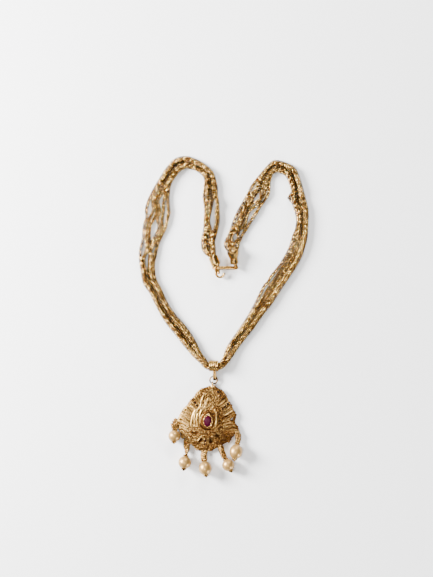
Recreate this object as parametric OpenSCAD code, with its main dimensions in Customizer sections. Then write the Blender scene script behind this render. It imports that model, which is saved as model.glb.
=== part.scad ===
// Long necklace of six gold chain strands, lying flat, with a hook and eye clasp
// and a cast pendant that holds an oval red stone and five pearl drops.
// The loop lies in the XY plane on z = 0, the pendant points to -Y.

/* [Chain strands] */
// Width of one chain strand
chain_w = 2.5; // [2.4:0.05:2.5]

/* [Hook end] */
// Outside radius of the cap that holds the left ends of the strands
hook_cap_r = 3.7; // [3.5:0.05:3.7]
// Length of that cap
hook_cap_len = 7.6; // [7.2:0.1:8]
// Thickness of the hook wire
hook_wire = 2.2; // [1.8:0.1:2.3]

/* [Eye end] */
// Outside radius of the wide mouth of the right cap
eye_cap_r = 4.6; // [4.6:0.1:5]
// Outside radius of the collar below that cap
collar_r = 3.1; // [2.8:0.1:3.1]
// Wire of the long eye
eye_wire = 1.6; // [1.3:0.1:1.6]

/* [Wound sleeve] */
// Turns of half-round wire around the strands
turns = 5; // [4:1:5]
// Distance between two turns
turn_pitch = 1.5; // [1.4:0.05:1.55]
// Radius of the bore that the strands pass through
sleeve_bore_r = 3.15; // [3.15:0.05:3.4]

/* [Pendant] */
// Thickness of the pendant at its rim
rim_z = 1.4; // [1.2:0.1:1.8]
// Height of its dome
dome_z = 6; // [5:0.25:7]
// Height of the raised ribs over the dome
relief_z = 0.7; // [0.4:0.1:1]
// Depth of the recesses in the dome
recess_z = 1.2; // [0.6:0.1:1.6]

/* [Red stone] */
// Width of the oval stone
stone_w = 6; // [5:0.1:6.2]
// Length of the oval stone
stone_l = 9.2; // [8:0.1:9.4]

/* [Drops] */
// Wire of the loops that carry the drops
loop_wire = 0.9; // [0.7:0.05:0.9]
// Radius of those loops, to the middle of the wire
loop_r = 1.15; // [1.15:0.05:1.3]
// Radius of the jump rings, to the middle of the wire
jump_r = 1.7; // [1.65:0.05:1.8]
// Thickness of the pins through the pearls
pin_d = 0.8; // [0.6:0.1:0.8]
// Radius of the caps above the pearls; those below are a little smaller
drop_cap_r = 2; // [1.4:0.1:2.2]

/* [Hidden] */
$fn = 64;
gold = "goldenrod";

// Route of the strands from the hook cap round the left lobe, through the sleeve
// and round the right lobe to the eye cap. A row is one place along the bundle:
// [x, y, slim, [how far strands 1 to 6 lie to the inner side], [their heights]].
// slim is below 1 where the strands are pressed together.
ROUTE = [
    [ -6.0,  41.5, 0.70, [-1.9, -0.9, -0.9,  0.9,  0.9,  1.9], [3.2, 4.9, 1.5, 1.5, 4.9, 3.2]],
    [ -8.1,  46.9, 0.72, [-1.9, -0.9, -0.9,  0.9,  0.9,  1.9], [3.2, 4.9, 1.5, 1.5, 4.9, 3.2]],
    [ -9.7,  50.6, 0.90, [-3.1, -1.8, -0.8,  1.4,  2.4,  4.0], [1.9, 3.9, 1.3, 1.3, 3.7, 1.7]],
    [-11.0,  54.2, 1.00, [-4.0, -2.6, -1.1,  1.4,  3.2,  5.0], [1.4, 3.5, 1.4, 1.4, 3.3, 1.4]],
    [-11.8,  59.6, 1.00, [-4.3, -2.7, -1.2,  1.3,  3.0,  4.7], [1.4, 3.5, 1.4, 1.4, 3.5, 1.4]],
    [-10.2,  67.6, 1.00, [-4.7, -3.0, -0.6,  1.2,  3.7,  4.6], [1.4, 3.5, 1.4, 3.4, 3.8, 1.4]],
    [ -9.0,  75.6, 1.00, [-5.2, -3.9,  2.7,  2.7,  5.2,  5.3], [1.4, 3.6, 1.4, 3.9, 3.9, 1.4]],
    [ -9.0,  83.6, 1.00, [-5.2, -3.6,  1.2,  1.9,  4.4,  5.0], [1.4, 3.5, 1.4, 3.9, 3.9, 1.4]],
    [ -9.2,  89.6, 1.00, [-5.0, -4.9, -0.2,  1.4,  4.0,  5.3], [1.4, 3.9, 1.4, 3.6, 3.6, 1.4]],
    [ -9.5,  96.1, 1.00, [-4.4, -2.8, -1.5,  1.0,  3.2,  5.6], [1.4, 3.5, 1.4, 1.4, 3.5, 1.4]],
    [ -9.8, 103.6, 1.00, [-4.2, -2.7, -1.4,  1.1,  2.9,  4.6], [1.4, 3.5, 1.4, 1.4, 3.5, 1.4]],
    [-12.4, 112.1, 0.90, [-4.3, -3.2, -2.0,  0.2,  1.4,  2.6], [1.4, 3.4, 1.4, 1.4, 3.4, 1.4]],
    [-17.9, 119.1, 0.86, [-2.5, -1.4, -0.3,  1.8,  2.9,  4.0], [1.4, 3.3, 1.4, 1.4, 3.3, 1.4]],
    [-23.4, 123.6, 0.90, [-0.8,  0.4,  1.5,  3.7,  4.9,  6.1], [1.4, 3.4, 1.4, 1.4, 3.4, 1.4]],
    [-28.9, 124.6, 1.00, [-1.8, -0.4,  0.9,  3.4,  4.7,  6.0], [1.4, 3.5, 1.4, 1.4, 3.5, 1.4]],
    [-35.4, 121.6, 1.00, [-3.9, -2.3, -0.8,  1.7,  3.3,  4.8], [1.4, 3.5, 1.4, 1.4, 3.5, 1.4]],
    [-41.4, 115.6, 1.00, [-3.8, -2.3, -0.9,  1.6,  3.1,  4.5], [1.4, 3.5, 1.4, 1.4, 3.5, 1.4]],
    [-46.4, 107.6, 1.00, [-4.0, -2.5, -1.0,  1.5,  3.0,  4.4], [1.4, 3.5, 1.4, 1.4, 3.5, 1.4]],
    [-49.9,  99.6, 1.00, [-5.3, -3.1, -0.5,  2.0,  4.2,  6.4], [1.4, 3.0, 1.4, 1.4, 2.9, 1.4]],
    [-51.4,  91.6, 1.00, [-7.8, -5.1, -2.8, -0.7,  4.1,  7.3], [1.4, 1.4, 3.0, 1.4, 1.4, 1.4]],
    [-52.4,  83.6, 1.00, [-9.1, -3.4, -0.8,  1.7,  4.5,  9.0], [1.4, 1.4, 1.4, 1.4, 1.4, 1.4]],
    [-52.9,  77.6, 1.00, [-8.2, -5.6, -2.1,  0.4,  4.1,  8.2], [1.4, 1.4, 1.4, 1.4, 1.4, 1.4]],
    [-54.4,  71.6, 1.00, [-8.6, -6.1, -3.7,  3.0,  5.6,  8.2], [1.4, 1.4, 1.4, 1.4, 1.4, 1.4]],
    [-56.4,  64.6, 1.00, [-7.5, -5.2, -2.9,  2.4,  4.6,  6.8], [1.4, 2.3, 1.4, 1.4, 2.5, 1.4]],
    [-57.9,  59.6, 1.00, [-6.2, -3.9, -1.3,  1.2,  3.7,  6.1], [1.4, 2.9, 1.4, 1.4, 2.0, 1.4]],
    [-58.7,  55.6, 1.00, [-6.3, -2.0, -1.8,  0.7,  2.4,  5.7], [1.4, 3.9, 1.4, 1.4, 3.4, 1.4]],
    [-59.4,  51.6, 1.00, [-6.6, -0.7, -2.2,  0.3,  1.7,  5.6], [1.4, 3.5, 1.4, 1.4, 3.5, 1.4]],
    [-59.9,  47.6, 1.00, [-6.2, -2.9, -2.9,  1.2,  3.0,  5.3], [1.4, 3.9, 1.4, 1.4, 3.3, 1.4]],
    [-60.4,  43.6, 1.00, [-5.7, -4.5, -3.2,  1.2,  3.0,  4.9], [1.4, 3.5, 1.4, 1.4, 3.1, 1.4]],
    [-59.9,  35.6, 1.00, [-5.0, -3.4, -1.8,  0.7,  2.6,  4.4], [1.4, 3.4, 1.4, 1.4, 3.1, 1.4]],
    [-58.4,  27.6, 1.00, [-4.9, -3.4, -1.8,  0.7,  2.5,  4.2], [1.4, 3.4, 1.4, 1.4, 3.3, 1.4]],
    [-54.4,  19.6, 1.00, [-3.9, -2.5, -1.2,  1.3,  2.7,  4.1], [1.4, 3.5, 1.4, 1.4, 3.5, 1.4]],
    [-50.4,  11.6, 1.00, [-3.9, -2.6, -1.3,  1.2,  2.5,  3.8], [1.4, 3.5, 1.4, 1.4, 3.5, 1.4]],
    [-45.9,   3.6, 1.00, [-4.2, -2.9, -1.6,  0.9,  2.2,  3.5], [1.4, 3.5, 1.4, 1.4, 3.5, 1.4]],
    [-40.4,  -4.4, 1.00, [-4.5, -3.0, -1.6,  0.9,  2.4,  3.9], [1.4, 3.4, 1.4, 1.4, 3.4, 1.4]],
    [-33.9, -12.4, 1.00, [-4.4, -2.9, -1.4,  1.1,  2.7,  4.2], [1.4, 3.4, 1.4, 1.4, 3.4, 1.4]],
    [-28.4, -20.4, 1.00, [-4.0, -2.5, -1.1,  1.4,  2.9,  4.3], [1.4, 3.4, 1.4, 1.4, 3.4, 1.4]],
    [-23.4, -28.4, 0.88, [-2.8, -1.7, -0.6,  1.6,  2.7,  3.8], [1.4, 3.3, 1.4, 1.4, 3.3, 1.4]],
    [-20.2, -32.2, 0.85, [-2.7, -1.2, -1.0,  1.1,  1.3,  2.8], [2.6, 4.2, 1.3, 1.3, 4.2, 2.6]],
    [-16.5, -36.2, 0.82, [-2.1, -1.0, -1.0,  1.0,  1.0,  2.1], [3.4, 5.2, 1.7, 1.7, 5.2, 3.4]],
    [-12.0, -40.6, 0.78, [-2.0, -1.0, -1.0,  1.0,  1.0,  2.0], [4.4, 6.1, 2.7, 2.7, 6.1, 4.4]],
    [ -2.8, -40.6, 0.78, [-2.0, -1.0, -1.0,  1.0,  1.0,  2.0], [4.4, 6.1, 2.7, 2.7, 6.1, 4.4]],
    [  2.0, -36.0, 0.82, [-2.1, -1.0, -1.0,  1.1,  1.1,  2.2], [3.3, 5.1, 1.6, 1.6, 5.1, 3.3]],
    [  6.8, -28.2, 0.86, [-2.5, -1.2, -0.4,  1.7,  2.6,  3.8], [1.9, 3.9, 1.4, 1.4, 3.8, 1.9]],
    [ 11.6, -20.4, 0.88, [-3.1, -2.0, -0.9,  1.3,  2.4,  3.5], [1.4, 3.3, 1.4, 1.4, 3.3, 1.4]],
    [ 17.6, -12.4, 0.95, [-3.4, -2.2, -1.0,  1.4,  2.6,  3.8], [1.4, 3.4, 1.4, 1.4, 3.4, 1.4]],
    [ 23.1,  -4.4, 1.00, [-3.8, -2.5, -1.2,  1.3,  2.6,  3.9], [1.4, 3.5, 1.4, 1.4, 3.5, 1.4]],
    [ 28.1,   3.6, 1.00, [-4.2, -2.7, -1.3,  1.2,  2.8,  4.4], [1.4, 3.4, 1.4, 1.4, 3.4, 1.4]],
    [ 33.6,  11.6, 1.00, [-5.0, -3.7, -2.3,  0.2,  2.9,  5.7], [1.4, 3.5, 1.4, 1.4, 1.4, 1.4]],
    [ 38.6,  19.6, 1.00, [-5.1, -3.7, -2.2,  0.3,  2.9,  6.6], [1.4, 3.4, 1.4, 1.4, 1.4, 1.4]],
    [ 41.1,  23.6, 1.00, [-5.2, -3.7, -2.2,  0.3,  3.0,  5.7], [1.4, 3.4, 1.4, 1.4, 1.4, 1.4]],
    [ 43.1,  27.1, 1.00, [-5.6, -4.2, -2.8, -0.3,  2.3,  5.9], [1.4, 3.5, 1.4, 1.4, 1.4, 1.4]],
    [ 49.1,  35.6, 1.00, [-5.4, -4.0, -2.6, -0.1,  2.6,  5.3], [1.4, 3.5, 1.4, 1.4, 1.4, 1.4]],
    [ 54.1,  43.6, 1.00, [-5.4, -3.9, -2.6, -0.1,  2.5,  5.1], [1.4, 3.5, 1.4, 1.4, 1.4, 1.4]],
    [ 58.1,  51.6, 1.00, [-5.3, -3.9, -2.6, -0.1,  2.5,  5.0], [1.4, 3.5, 1.4, 1.4, 1.4, 1.4]],
    [ 60.6,  59.6, 1.00, [-5.2, -3.9, -2.6, -0.1,  2.4,  4.9], [1.4, 3.5, 1.4, 1.4, 1.4, 1.4]],
    [ 61.8,  63.6, 1.00, [-4.9, -3.5, -2.1,  0.4,  2.6,  4.9], [1.4, 3.5, 1.4, 1.4, 2.6, 1.4]],
    [ 62.6,  67.6, 1.00, [-4.5, -3.0, -1.4,  1.1,  2.6,  4.0], [1.4, 3.5, 1.4, 1.4, 3.4, 1.4]],
    [ 63.6,  75.6, 1.00, [-3.8, -2.5, -1.3,  1.2,  2.5,  3.7], [1.4, 3.5, 1.4, 1.4, 3.5, 1.4]],
    [ 63.1,  83.6, 1.00, [-4.4, -2.8, -1.2,  1.3,  2.9,  4.5], [1.4, 3.4, 1.4, 1.4, 3.4, 1.4]],
    [ 60.6,  91.6, 1.00, [-4.9, -3.0, -1.2,  1.3,  3.0,  4.7], [1.4, 3.2, 1.4, 1.4, 3.3, 1.4]],
    [ 59.6,  95.6, 1.00, [-5.0, -3.2, -1.4,  1.1,  3.8,  6.6], [1.4, 3.3, 1.4, 1.4, 3.2, 1.4]],
    [ 59.1,  99.6, 1.00, [-4.4, -3.1, -1.7,  0.8,  2.1,  3.4], [1.4, 3.5, 1.4, 1.4, 3.7, 1.4]],
    [ 57.1, 107.6, 1.00, [-4.0, -2.7, -1.5,  0.9,  2.2,  3.4], [1.4, 3.5, 1.4, 1.4, 3.5, 1.4]],
    [ 53.6, 114.6, 1.00, [-4.3, -3.0, -1.7,  0.8,  2.2,  3.5], [1.4, 3.5, 1.4, 1.4, 3.5, 1.4]],
    [ 47.6, 119.6, 0.95, [-2.3, -1.1,  0.1,  2.5,  3.7,  4.9], [1.4, 3.4, 1.4, 1.4, 3.4, 1.4]],
    [ 42.1, 119.6, 1.00, [-3.7, -2.3, -1.0,  1.5,  2.9,  4.2], [1.4, 3.5, 1.4, 1.4, 3.5, 1.4]],
    [ 36.6, 116.1, 0.86, [-2.5, -1.5, -0.5,  1.6,  2.7,  3.8], [1.4, 3.3, 1.4, 1.4, 3.3, 1.4]],
    [ 31.6, 109.6, 0.94, [-2.8, -1.6, -0.5,  1.8,  4.1,  6.4], [1.4, 3.5, 1.4, 1.4, 2.2, 1.4]],
    [ 28.1, 101.6, 1.00, [-4.9, -1.2,  1.0,  3.5,  6.3,  9.2], [1.4, 2.8, 1.4, 1.4, 1.4, 1.4]],
    [ 24.6,  94.6, 1.00, [-5.0, -2.7, -0.2,  5.0,  6.0,  8.6], [1.4, 1.9, 1.4, 4.2, 1.4, 1.4]],
    [ 22.6,  90.6, 1.00, [-5.3, -2.8, -0.4,  2.0,  5.1,  7.8], [1.4, 1.4, 3.0, 1.9, 1.4, 1.4]],
    [ 21.6,  88.1, 1.00, [-5.6, -3.2, -1.4,  0.6,  3.9,  7.4], [1.4, 1.4, 3.5, 1.4, 1.4, 1.4]],
    [ 20.6,  85.6, 1.00, [-5.9, -3.5, -2.3, -1.1,  2.0,  7.0], [1.4, 1.4, 3.6, 1.4, 1.4, 1.4]],
    [ 18.4,  81.6, 1.00, [-6.1, -3.7, -2.5, -1.3,  1.3,  6.6], [1.4, 1.4, 3.5, 1.4, 1.4, 1.4]],
    [ 15.8,  76.1, 1.00, [-6.0, -3.0, -1.5,  0.0,  2.9,  5.9], [1.4, 1.4, 3.4, 1.4, 1.4, 1.4]],
    [ 13.6,  71.6, 1.00, [-5.7, -3.1, -1.4,  0.1,  2.9,  5.6], [1.4, 1.7, 3.9, 1.4, 1.4, 1.4]],
    [ 11.4,  67.6, 1.00, [-4.9, -3.4, -0.7, -2.1,  0.8,  5.0], [1.4, 3.7, 4.0, 1.4, 1.4, 1.4]],
    [  9.1,  62.1, 0.90, [-4.8, -4.9, -2.5, -2.5,  3.2,  4.8], [1.4, 3.8, 3.8, 1.4, 3.4, 1.4]],
    [  7.8,  59.1, 1.00, [-5.2, -3.5, -0.6, -1.8,  1.9,  4.6], [1.4, 3.5, 3.5, 1.4, 1.4, 1.4]],
    [  7.7,  55.3, 0.95, [-5.6, -3.4,  0.2, -1.8,  1.7,  4.2], [2.0, 4.2, 4.1, 1.4, 1.4, 2.0]],
    [  7.7,  51.0, 0.88, [-2.9, -1.3,  1.3, -1.2,  1.2,  2.9], [4.3, 6.6, 6.6, 2.3, 2.3, 4.3]],
    [  8.3,  47.0, 0.73, [-1.8, -0.9,  0.9, -0.9,  0.9,  1.8], [4.0, 5.6, 5.6, 2.4, 2.4, 4.0]],
];
COUNT = len(ROUTE);
TUBE_SIDES = 8;

// Moves a piece so that the whole necklace is centred on the Z axis
module laid() {
    translate([-0.81, 0.84, 0]) children();
}

// Direction of the bundle at row k, seen from above
function heading(k) =
    let (a = ROUTE[max(k - 1, 0)], b = ROUTE[min(k + 1, COUNT - 1)],
         d = [b[0] - a[0], b[1] - a[1]])
    d / norm(d);

// Middle of strand n at row k
function strand_point(n, k) =
    let (row = ROUTE[k], d = heading(k))
    [row[0] - d[1] * row[3][n], row[1] + d[0] * row[3][n], row[4][n]];

function unit(v) = v / norm(v);

// Points of one ring of a tube around the strand
function strand_ring(n, k) =
    let (p = strand_point(n, k),
         ahead = strand_point(n, min(k + 1, COUNT - 1)),
         behind = strand_point(n, max(k - 1, 0)),
         t = unit(ahead - behind),
         side = unit([-t[1], t[0], 0]),
         up = cross(t, side),
         r = chain_w / 2 * ROUTE[k][2])
    [for (i = [0 : TUBE_SIDES - 1])
        let (a = 360 / TUBE_SIDES * (i + 0.5))
        p + r * cos(a) * side + r * sin(a) * up];

// One chain strand, from cap to cap
module strand(n) {
    points = [for (k = [0 : COUNT - 1]) each strand_ring(n, k)];
    last = (COUNT - 1) * TUBE_SIDES;
    walls = [for (k = [0 : COUNT - 2]) for (i = [0 : TUBE_SIDES - 1])
        let (j = (i + 1) % TUBE_SIDES, a = k * TUBE_SIDES, b = a + TUBE_SIDES)
        [a + i, b + i, b + j, a + j]];
    start = [for (i = [0 : TUBE_SIDES - 1]) i];
    end = [for (i = [TUBE_SIDES - 1 : -1 : 0]) last + i];
    laid() color(gold) polyhedron(points, concat([start], walls, [end]), convexity = 10);
}

// A ring of round wire around the local X axis
module wire_ring(r, wire) {
    rotate([0, 90, 0]) rotate_extrude() translate([r, 0]) circle(d = wire, $fn = 24);
}

// A round rod from a to b
module rod(a, b, d) {
    v = b - a;
    translate(a) rotate([0, acos(v[2] / norm(v)), atan2(v[1], v[0])])
        cylinder(h = norm(v), d = d, $fn = 24);
}

// A flat arc of round wire around the local Z axis
module wire_arc(r, wire, from, sweep) {
    rotate([0, 0, from]) rotate_extrude(angle = sweep)
        translate([r, 0]) circle(d = wire, $fn = 24);
}

// Left cap over the strand ends, with the folded hook soldered to its closed end
module hook_end() {
    laid() color(gold) {
        // Cap
        translate([-8.1, 46.9, 3.75]) rotate([0, 0, -68]) rotate([0, 90, 0])
            rotate_extrude() polygon([
                [hook_cap_r - 0.3, 0], [hook_cap_r, 0], [hook_cap_r, hook_cap_len - 1],
                [hook_cap_r - 0.6, hook_cap_len], [0, hook_cap_len], [0, 6],
                [hook_cap_r - 0.3, 6]]);
        // Shank of two wires side by side
        rod([-6.1, 40.8, 3.2], [-5.4, 33.8, 3.2], hook_wire);
        rod([-4.1, 40.8, 3.2], [-3.4, 34, 3.2], hook_wire);
        translate([-3.4, 34, 3.2]) sphere(d = hook_wire + 0.2, $fn = 24);
        translate([-5.4, 33.8, 3.2]) sphere(d = hook_wire + 0.2, $fn = 24);
        // Hook
        translate([-2.4, 33.5, 3.2]) wire_arc(3.1, 1.8, 175, 175);
        translate([0.65, 33, 3.2]) sphere(d = 2, $fn = 24);
    }
}

// Right cap, a cone with a collar, and the long eye soldered to it
module eye_end() {
    reach = 9.65;
    bend = 1.6 + eye_wire / 2;
    laid() color(gold) {
        // Cone and collar
        translate([7.7, 50.8, 4.7]) rotate([0, 8, -81.3]) rotate([0, 90, 0])
            rotate_extrude() polygon([
                [eye_cap_r - 0.3, 0], [eye_cap_r, 0], [eye_cap_r, 0.8],
                [collar_r + 0.3, 5], [collar_r - 0.2, 5.4], [collar_r - 0.2, 5.8],
                [collar_r, 6.1], [collar_r, 9.5], [collar_r - 0.5, 10], [0, 10],
                [0, 4.9], [2.6, 4.9], [eye_cap_r - 0.3, 0.6]]);
        // Stem from the collar to the eye
        rod([9.1, 41.6, 3.4], [11.1, 38, 3.2], 2.7);
        // Eye, a long loop that stands on edge
        translate([1.7, 37.8, 3.3]) rotate([16, 0, 0]) {
            for (side = [-1, 1])
                translate([-(reach - bend), 0, side * bend]) rotate([0, 90, 0])
                    cylinder(h = 2 * (reach - bend), d = eye_wire, $fn = 24);
            translate([reach - bend, 0, 0]) rotate([90, 0, 0])
                wire_arc(bend, eye_wire, -90, 180);
            translate([-(reach - bend), 0, 0]) rotate([90, 0, 0])
                wire_arc(bend, eye_wire, 90, 180);
        }
    }
}

// Sleeve of half-round wire around the strands, with the folded bail strip
module sleeve() {
    laid() color(gold) {
        // Turns of wire
        translate([-7.4, -40.6, 4.4]) rotate([0, 90, 0]) rotate_extrude() difference() {
            for (i = [0 : turns - 1])
                translate([sleeve_bore_r + 0.4, (i - (turns - 1) / 2) * turn_pitch])
                    circle(r = 0.8, $fn = 24);
            translate([0, -10]) square([sleeve_bore_r, 20]);
        }
        // Bail strip, folded like a hairpin
        translate([-8.1, 0, 0]) rotate([90, 0, 90]) linear_extrude(2.7) {
            translate([-50.7, 3.1]) square([6.3, 0.7]);
            translate([-50.7, 0.8]) square([8, 0.7]);
            translate([-50.7, 2.3]) difference() {
                circle(r = 1.5);
                circle(r = 0.8);
                translate([0, -2]) square([2, 4]);
            }
        }
    }
}

// Flat ring between bail and pendant
module bail_ring() {
    laid() color(gold) translate([-7.6, -52, 2.3]) wire_arc(2.9, 1.1, 0, 360);
}

// Outline of the pendant, clockwise from the top
PENDANT_EDGE = [
    [-9.0, -56.6], [-6.2, -57.4], [-2.6, -59.5], [0.2, -60.9], [4.6, -68.5], [8.6, -76],
    [10.6, -80], [9.2, -84.8], [11.4, -88.8], [11.8, -92.7], [7.4, -97.5], [5.8, -101.1],
    [1.4, -102.7], [-4.2, -105.9], [-8.2, -107.8], [-14.2, -109.4], [-20.1, -108.2],
    [-25.3, -103.9], [-28.1, -102.3], [-30.5, -99.1], [-33.4, -98.3], [-33.6, -94.5],
    [-35.2, -91.5], [-36, -87.8], [-37.6, -86.4], [-35.3, -81.6], [-32.9, -76.8],
    [-30.5, -74.1], [-26.5, -68.9], [-23.3, -65.3], [-18.6, -59.7]];
// Middle of the pendant and turn of its upright axis
PENDANT_MIDDLE = [-12.6, -84];
PENDANT_TURN = -6.3;
DOME_R = 105;

// Pearls from left to right: [pearl x, y, z], radius, half length, [pin loop x, y],
// [pendant loop x, y], [point on the pendant that the loop is soldered to]
DROPS = [
    [[-38.9,  -96.6, 4.8], 4.8, 4.8, [-38.6,  -90.3], [-38.4,  -87.0], [-35.6, -84.4]],
    [[-30.5, -117.6, 5.2], 5.2, 5.2, [-28.8, -107.6], [-29.4, -104.3], [-28.8,  -99.0]],
    [[-14.2, -122.2, 5.2], 5.15, 5.8, [-15.3, -114.5], [-15.4, -111.2], [-14.8, -107.0]],
    [[  4.2, -119.8, 4.9], 4.9, 4.9, [ -0.4, -110.9], [ -1.4, -107.7], [ -2.6, -103.6]],
    [[ 10.4, -109.0, 5.2], 5.2, 6.0, [ 12.1,  -99.5], [ 12.3,  -96.2], [ 10.0,  -91.4]]];
LOOP_Z = 2.1;

// Egg outline around the middle of its round end, with the tip at +Y
function egg(r, tip, steps = 12) = concat(
    [for (i = [0 : steps - 1]) let (h = i / steps) [r * (1 - h * h * h), tip * h]],
    [[0, tip]],
    [for (i = [steps - 1 : -1 : 0]) let (h = i / steps) [-r * (1 - h * h * h), tip * h]],
    [for (a = [195 : 15 : 345]) [r * cos(a), r * sin(a)]]);

// Outline of the oval stone, wider by a margin
function stone_outline(more, count) =
    [for (i = [0 : count - 1]) let (a = 360 * i / count)
        [(stone_w / 2 + more) * cos(a), (stone_l / 2 + more) * sin(a)]];

// A ray of the relief, at an angle from the upright axis
module ray(angle, near, far, wide) {
    rotate([0, 0, angle])
        polygon([[-wide * 0.3, near], [-wide / 2, far - 1], [0, far], [wide / 2, far - 1],
                 [wide * 0.3, near]]);
}

// Flat pattern of the relief in the frame of the pendant
module relief_pattern() {
    // Rays on both sides
    for (side = [-1, 1]) {
        ray(side * 24, 11, 23.5, 2);
        ray(side * 36, 9.5, 22, 1.6);
        ray(side * 50, 9, 20.5, 1.6);
        ray(side * 64, 8.5, 19.5, 2.4);
        ray(side * 80, 8, 20.5, 2.4);
        ray(side * 98, 8, 21.5, 2);
        ray(side * 116, 8.5, 21, 2);
        ray(side * 134, 9, 20, 1.6);
    }
    // Lozenges between the stone and the top
    for (i = [0 : 3])
        translate([0, 11 + 3.4 * i]) polygon([[0, -1.4], [1.5, 0], [0, 1.4], [-1.5, 0]]);
    // Studs around the foot
    for (i = [0 : 8])
        rotate([0, 0, 132 + 12 * i]) translate([0, 22.3]) circle(r = 0.9, $fn = 24);
}

// Pendant: domed plate with raised relief, setting, recesses and soldered loops
module pendant() {
    laid() color(gold) {
        difference() {
            union() {
                // Plate and dome
                linear_extrude(rim_z) polygon(PENDANT_EDGE);
                intersection() {
                    linear_extrude(dome_z + 1) polygon(PENDANT_EDGE);
                    translate([PENDANT_MIDDLE[0], PENDANT_MIDDLE[1], dome_z - DOME_R])
                        sphere(r = DOME_R, $fn = 128);
                }
                // Relief
                intersection() {
                    translate(PENDANT_MIDDLE) rotate([0, 0, PENDANT_TURN])
                        linear_extrude(dome_z + 2) relief_pattern();
                    translate([PENDANT_MIDDLE[0], PENDANT_MIDDLE[1],
                               dome_z + relief_z - DOME_R])
                        sphere(r = DOME_R, $fn = 128);
                }
                // Double rim of the setting
                translate(PENDANT_MIDDLE) rotate([0, 0, PENDANT_TURN]) translate([0.5, -2.05]) {
                    linear_extrude(dome_z + 0.8) difference() {
                        polygon(egg(5.3, 9.9));
                        polygon(egg(4.8, 9.3));
                    }
                    linear_extrude(dome_z + 1.2) polygon(egg(3.8, 8.2));
                }
            }
            // Seat of the stone
            translate(PENDANT_MIDDLE) rotate([0, 0, PENDANT_TURN])
                translate([0.45, -0.5, dome_z - 1.2])
                linear_extrude(4) polygon(stone_outline(0.12, 48));
            // Leaf-shaped and triangular recesses
            translate([-22.5, -93.5, 5.4 - recess_z]) rotate([0, 0, -15]) linear_extrude(4)
                polygon([[-2.6, 0], [-1.2, 1.2], [1.2, 1.2], [2.6, 0], [1.2, -1.2], [-1.2, -1.2]]);
            translate([-5, -96.3, 5.1 - recess_z]) rotate([0, 0, 5]) linear_extrude(4)
                polygon([[-2.6, 0], [-1.2, 1.2], [1.2, 1.2], [2.6, 0], [1.2, -1.2], [-1.2, -1.2]]);
            translate([-18.2, -99.5, 4.8 - recess_z]) linear_extrude(4)
                polygon([[-2, -1.6], [1.4, -1.6], [1.2, 2]]);
            translate([-10.2, -101.5, 4.6 - recess_z]) linear_extrude(4)
                polygon([[-1.2, 2.4], [-1.4, -1.4], [1.8, -1.2]]);
            // Slanted gap near the right edge
            translate([7.1, -83.5, -1]) rotate([0, 0, 32]) linear_extrude(10)
                polygon([[-1.7, -0.6], [-1, -0.9], [1.3, -0.7], [1.5, 0.6], [0.8, 0.9], [-1.4, 0.6]]);
        }
        // Top loop
        translate([-8.3, -54.9, 2.3]) wire_ring(1.3, 1.1);
        rod([-8.4, -56.3, 1.9], [-8.9, -59, 1.7], 1.6);
        // Loops for the drops
        for (drop = DROPS) {
            from = drop[3];
            at = drop[4];
            turn = atan2(at[1] - from[1], at[0] - from[0]);
            translate([at[0], at[1], LOOP_Z]) rotate([0, 0, turn - 90])
                wire_ring(loop_r, loop_wire);
            reach = drop[5] - at;
            start = at + reach * (loop_r / norm(reach));
            rod([start[0], start[1], LOOP_Z], [drop[5][0], drop[5][1], 1.9], 1.4);
        }
    }
}

// Oval stone with a flat table, in the frame of the pendant
module red_stone() {
    levels = [[0.2, 5], [0.62, 5.6], [1, 6.6], [1, 6.8], [0.82, 7.4], [0.55, 7.8]];
    outline = stone_outline(0, 16);
    count = len(outline);
    points = [for (level = levels) for (p = outline)
        [p[0] * level[0], p[1] * level[0], level[1] + dome_z - 6]];
    walls = [for (k = [0 : len(levels) - 2]) for (i = [0 : count - 1])
        let (j = (i + 1) % count, a = k * count, b = a + count)
        [a + i, b + i, b + j, a + j]];
    bottom = [for (i = [0 : count - 1]) i];
    table = [for (i = [count - 1 : -1 : 0]) (len(levels) - 1) * count + i];
    laid() color("darkred") translate(PENDANT_MIDDLE) rotate([0, 0, PENDANT_TURN])
        translate([0.45, -0.5, 0])
        polyhedron(points, concat([bottom], walls, [table]), convexity = 4);
}

// Turns children so that local Z points from the pearl's centre to its loop
module along_drop(drop) {
    v = [drop[3][0], drop[3][1], LOOP_Z] - drop[0];
    translate(drop[0]) rotate([0, acos(v[2] / norm(v)), atan2(v[1], v[0])]) children();
}

// A drilled pearl, round or slightly long
module pearl(n) {
    drop = DROPS[n - 1];
    r = drop[1];
    half = drop[2];
    laid() color("wheat") along_drop(drop) difference() {
        if (half == r)
            sphere(r = r);
        else
            rotate_extrude() polygon(
                [for (t = [-90 : 7.5 : 90]) [r * cos(t), half * sin(t)]]);
        translate([0, 0, -10]) cylinder(h = 20, r = pin_d / 2 + 0.1, $fn = 24);
    }
}

// Pin through a pearl, with a bead at its free end, a cap on both sides and a loop
module pin(n) {
    drop = DROPS[n - 1];
    half = drop[2];
    reach = norm([drop[3][0], drop[3][1], LOOP_Z] - drop[0]);
    turn = atan2(drop[3][1] - drop[0][1], drop[3][0] - drop[0][0]);
    laid() color(gold) {
        along_drop(drop) {
            translate([0, 0, -half - 0.9]) sphere(d = 1.9, $fn = 32);
            translate([0, 0, -half - 0.9])
                cylinder(h = half + 0.9 + reach - loop_r, d = pin_d, $fn = 24);
            translate([0, 0, half + 0.1]) cylinder(h = 0.9, r1 = drop_cap_r, r2 = 1.1, $fn = 32);
            translate([0, 0, -half - 1])
                cylinder(h = 0.9, r1 = 1.1, r2 = drop_cap_r - 0.2, $fn = 32);
        }
        translate([drop[3][0], drop[3][1], LOOP_Z]) rotate([0, 0, turn - 90])
            wire_ring(loop_r, loop_wire);
    }
}

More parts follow.
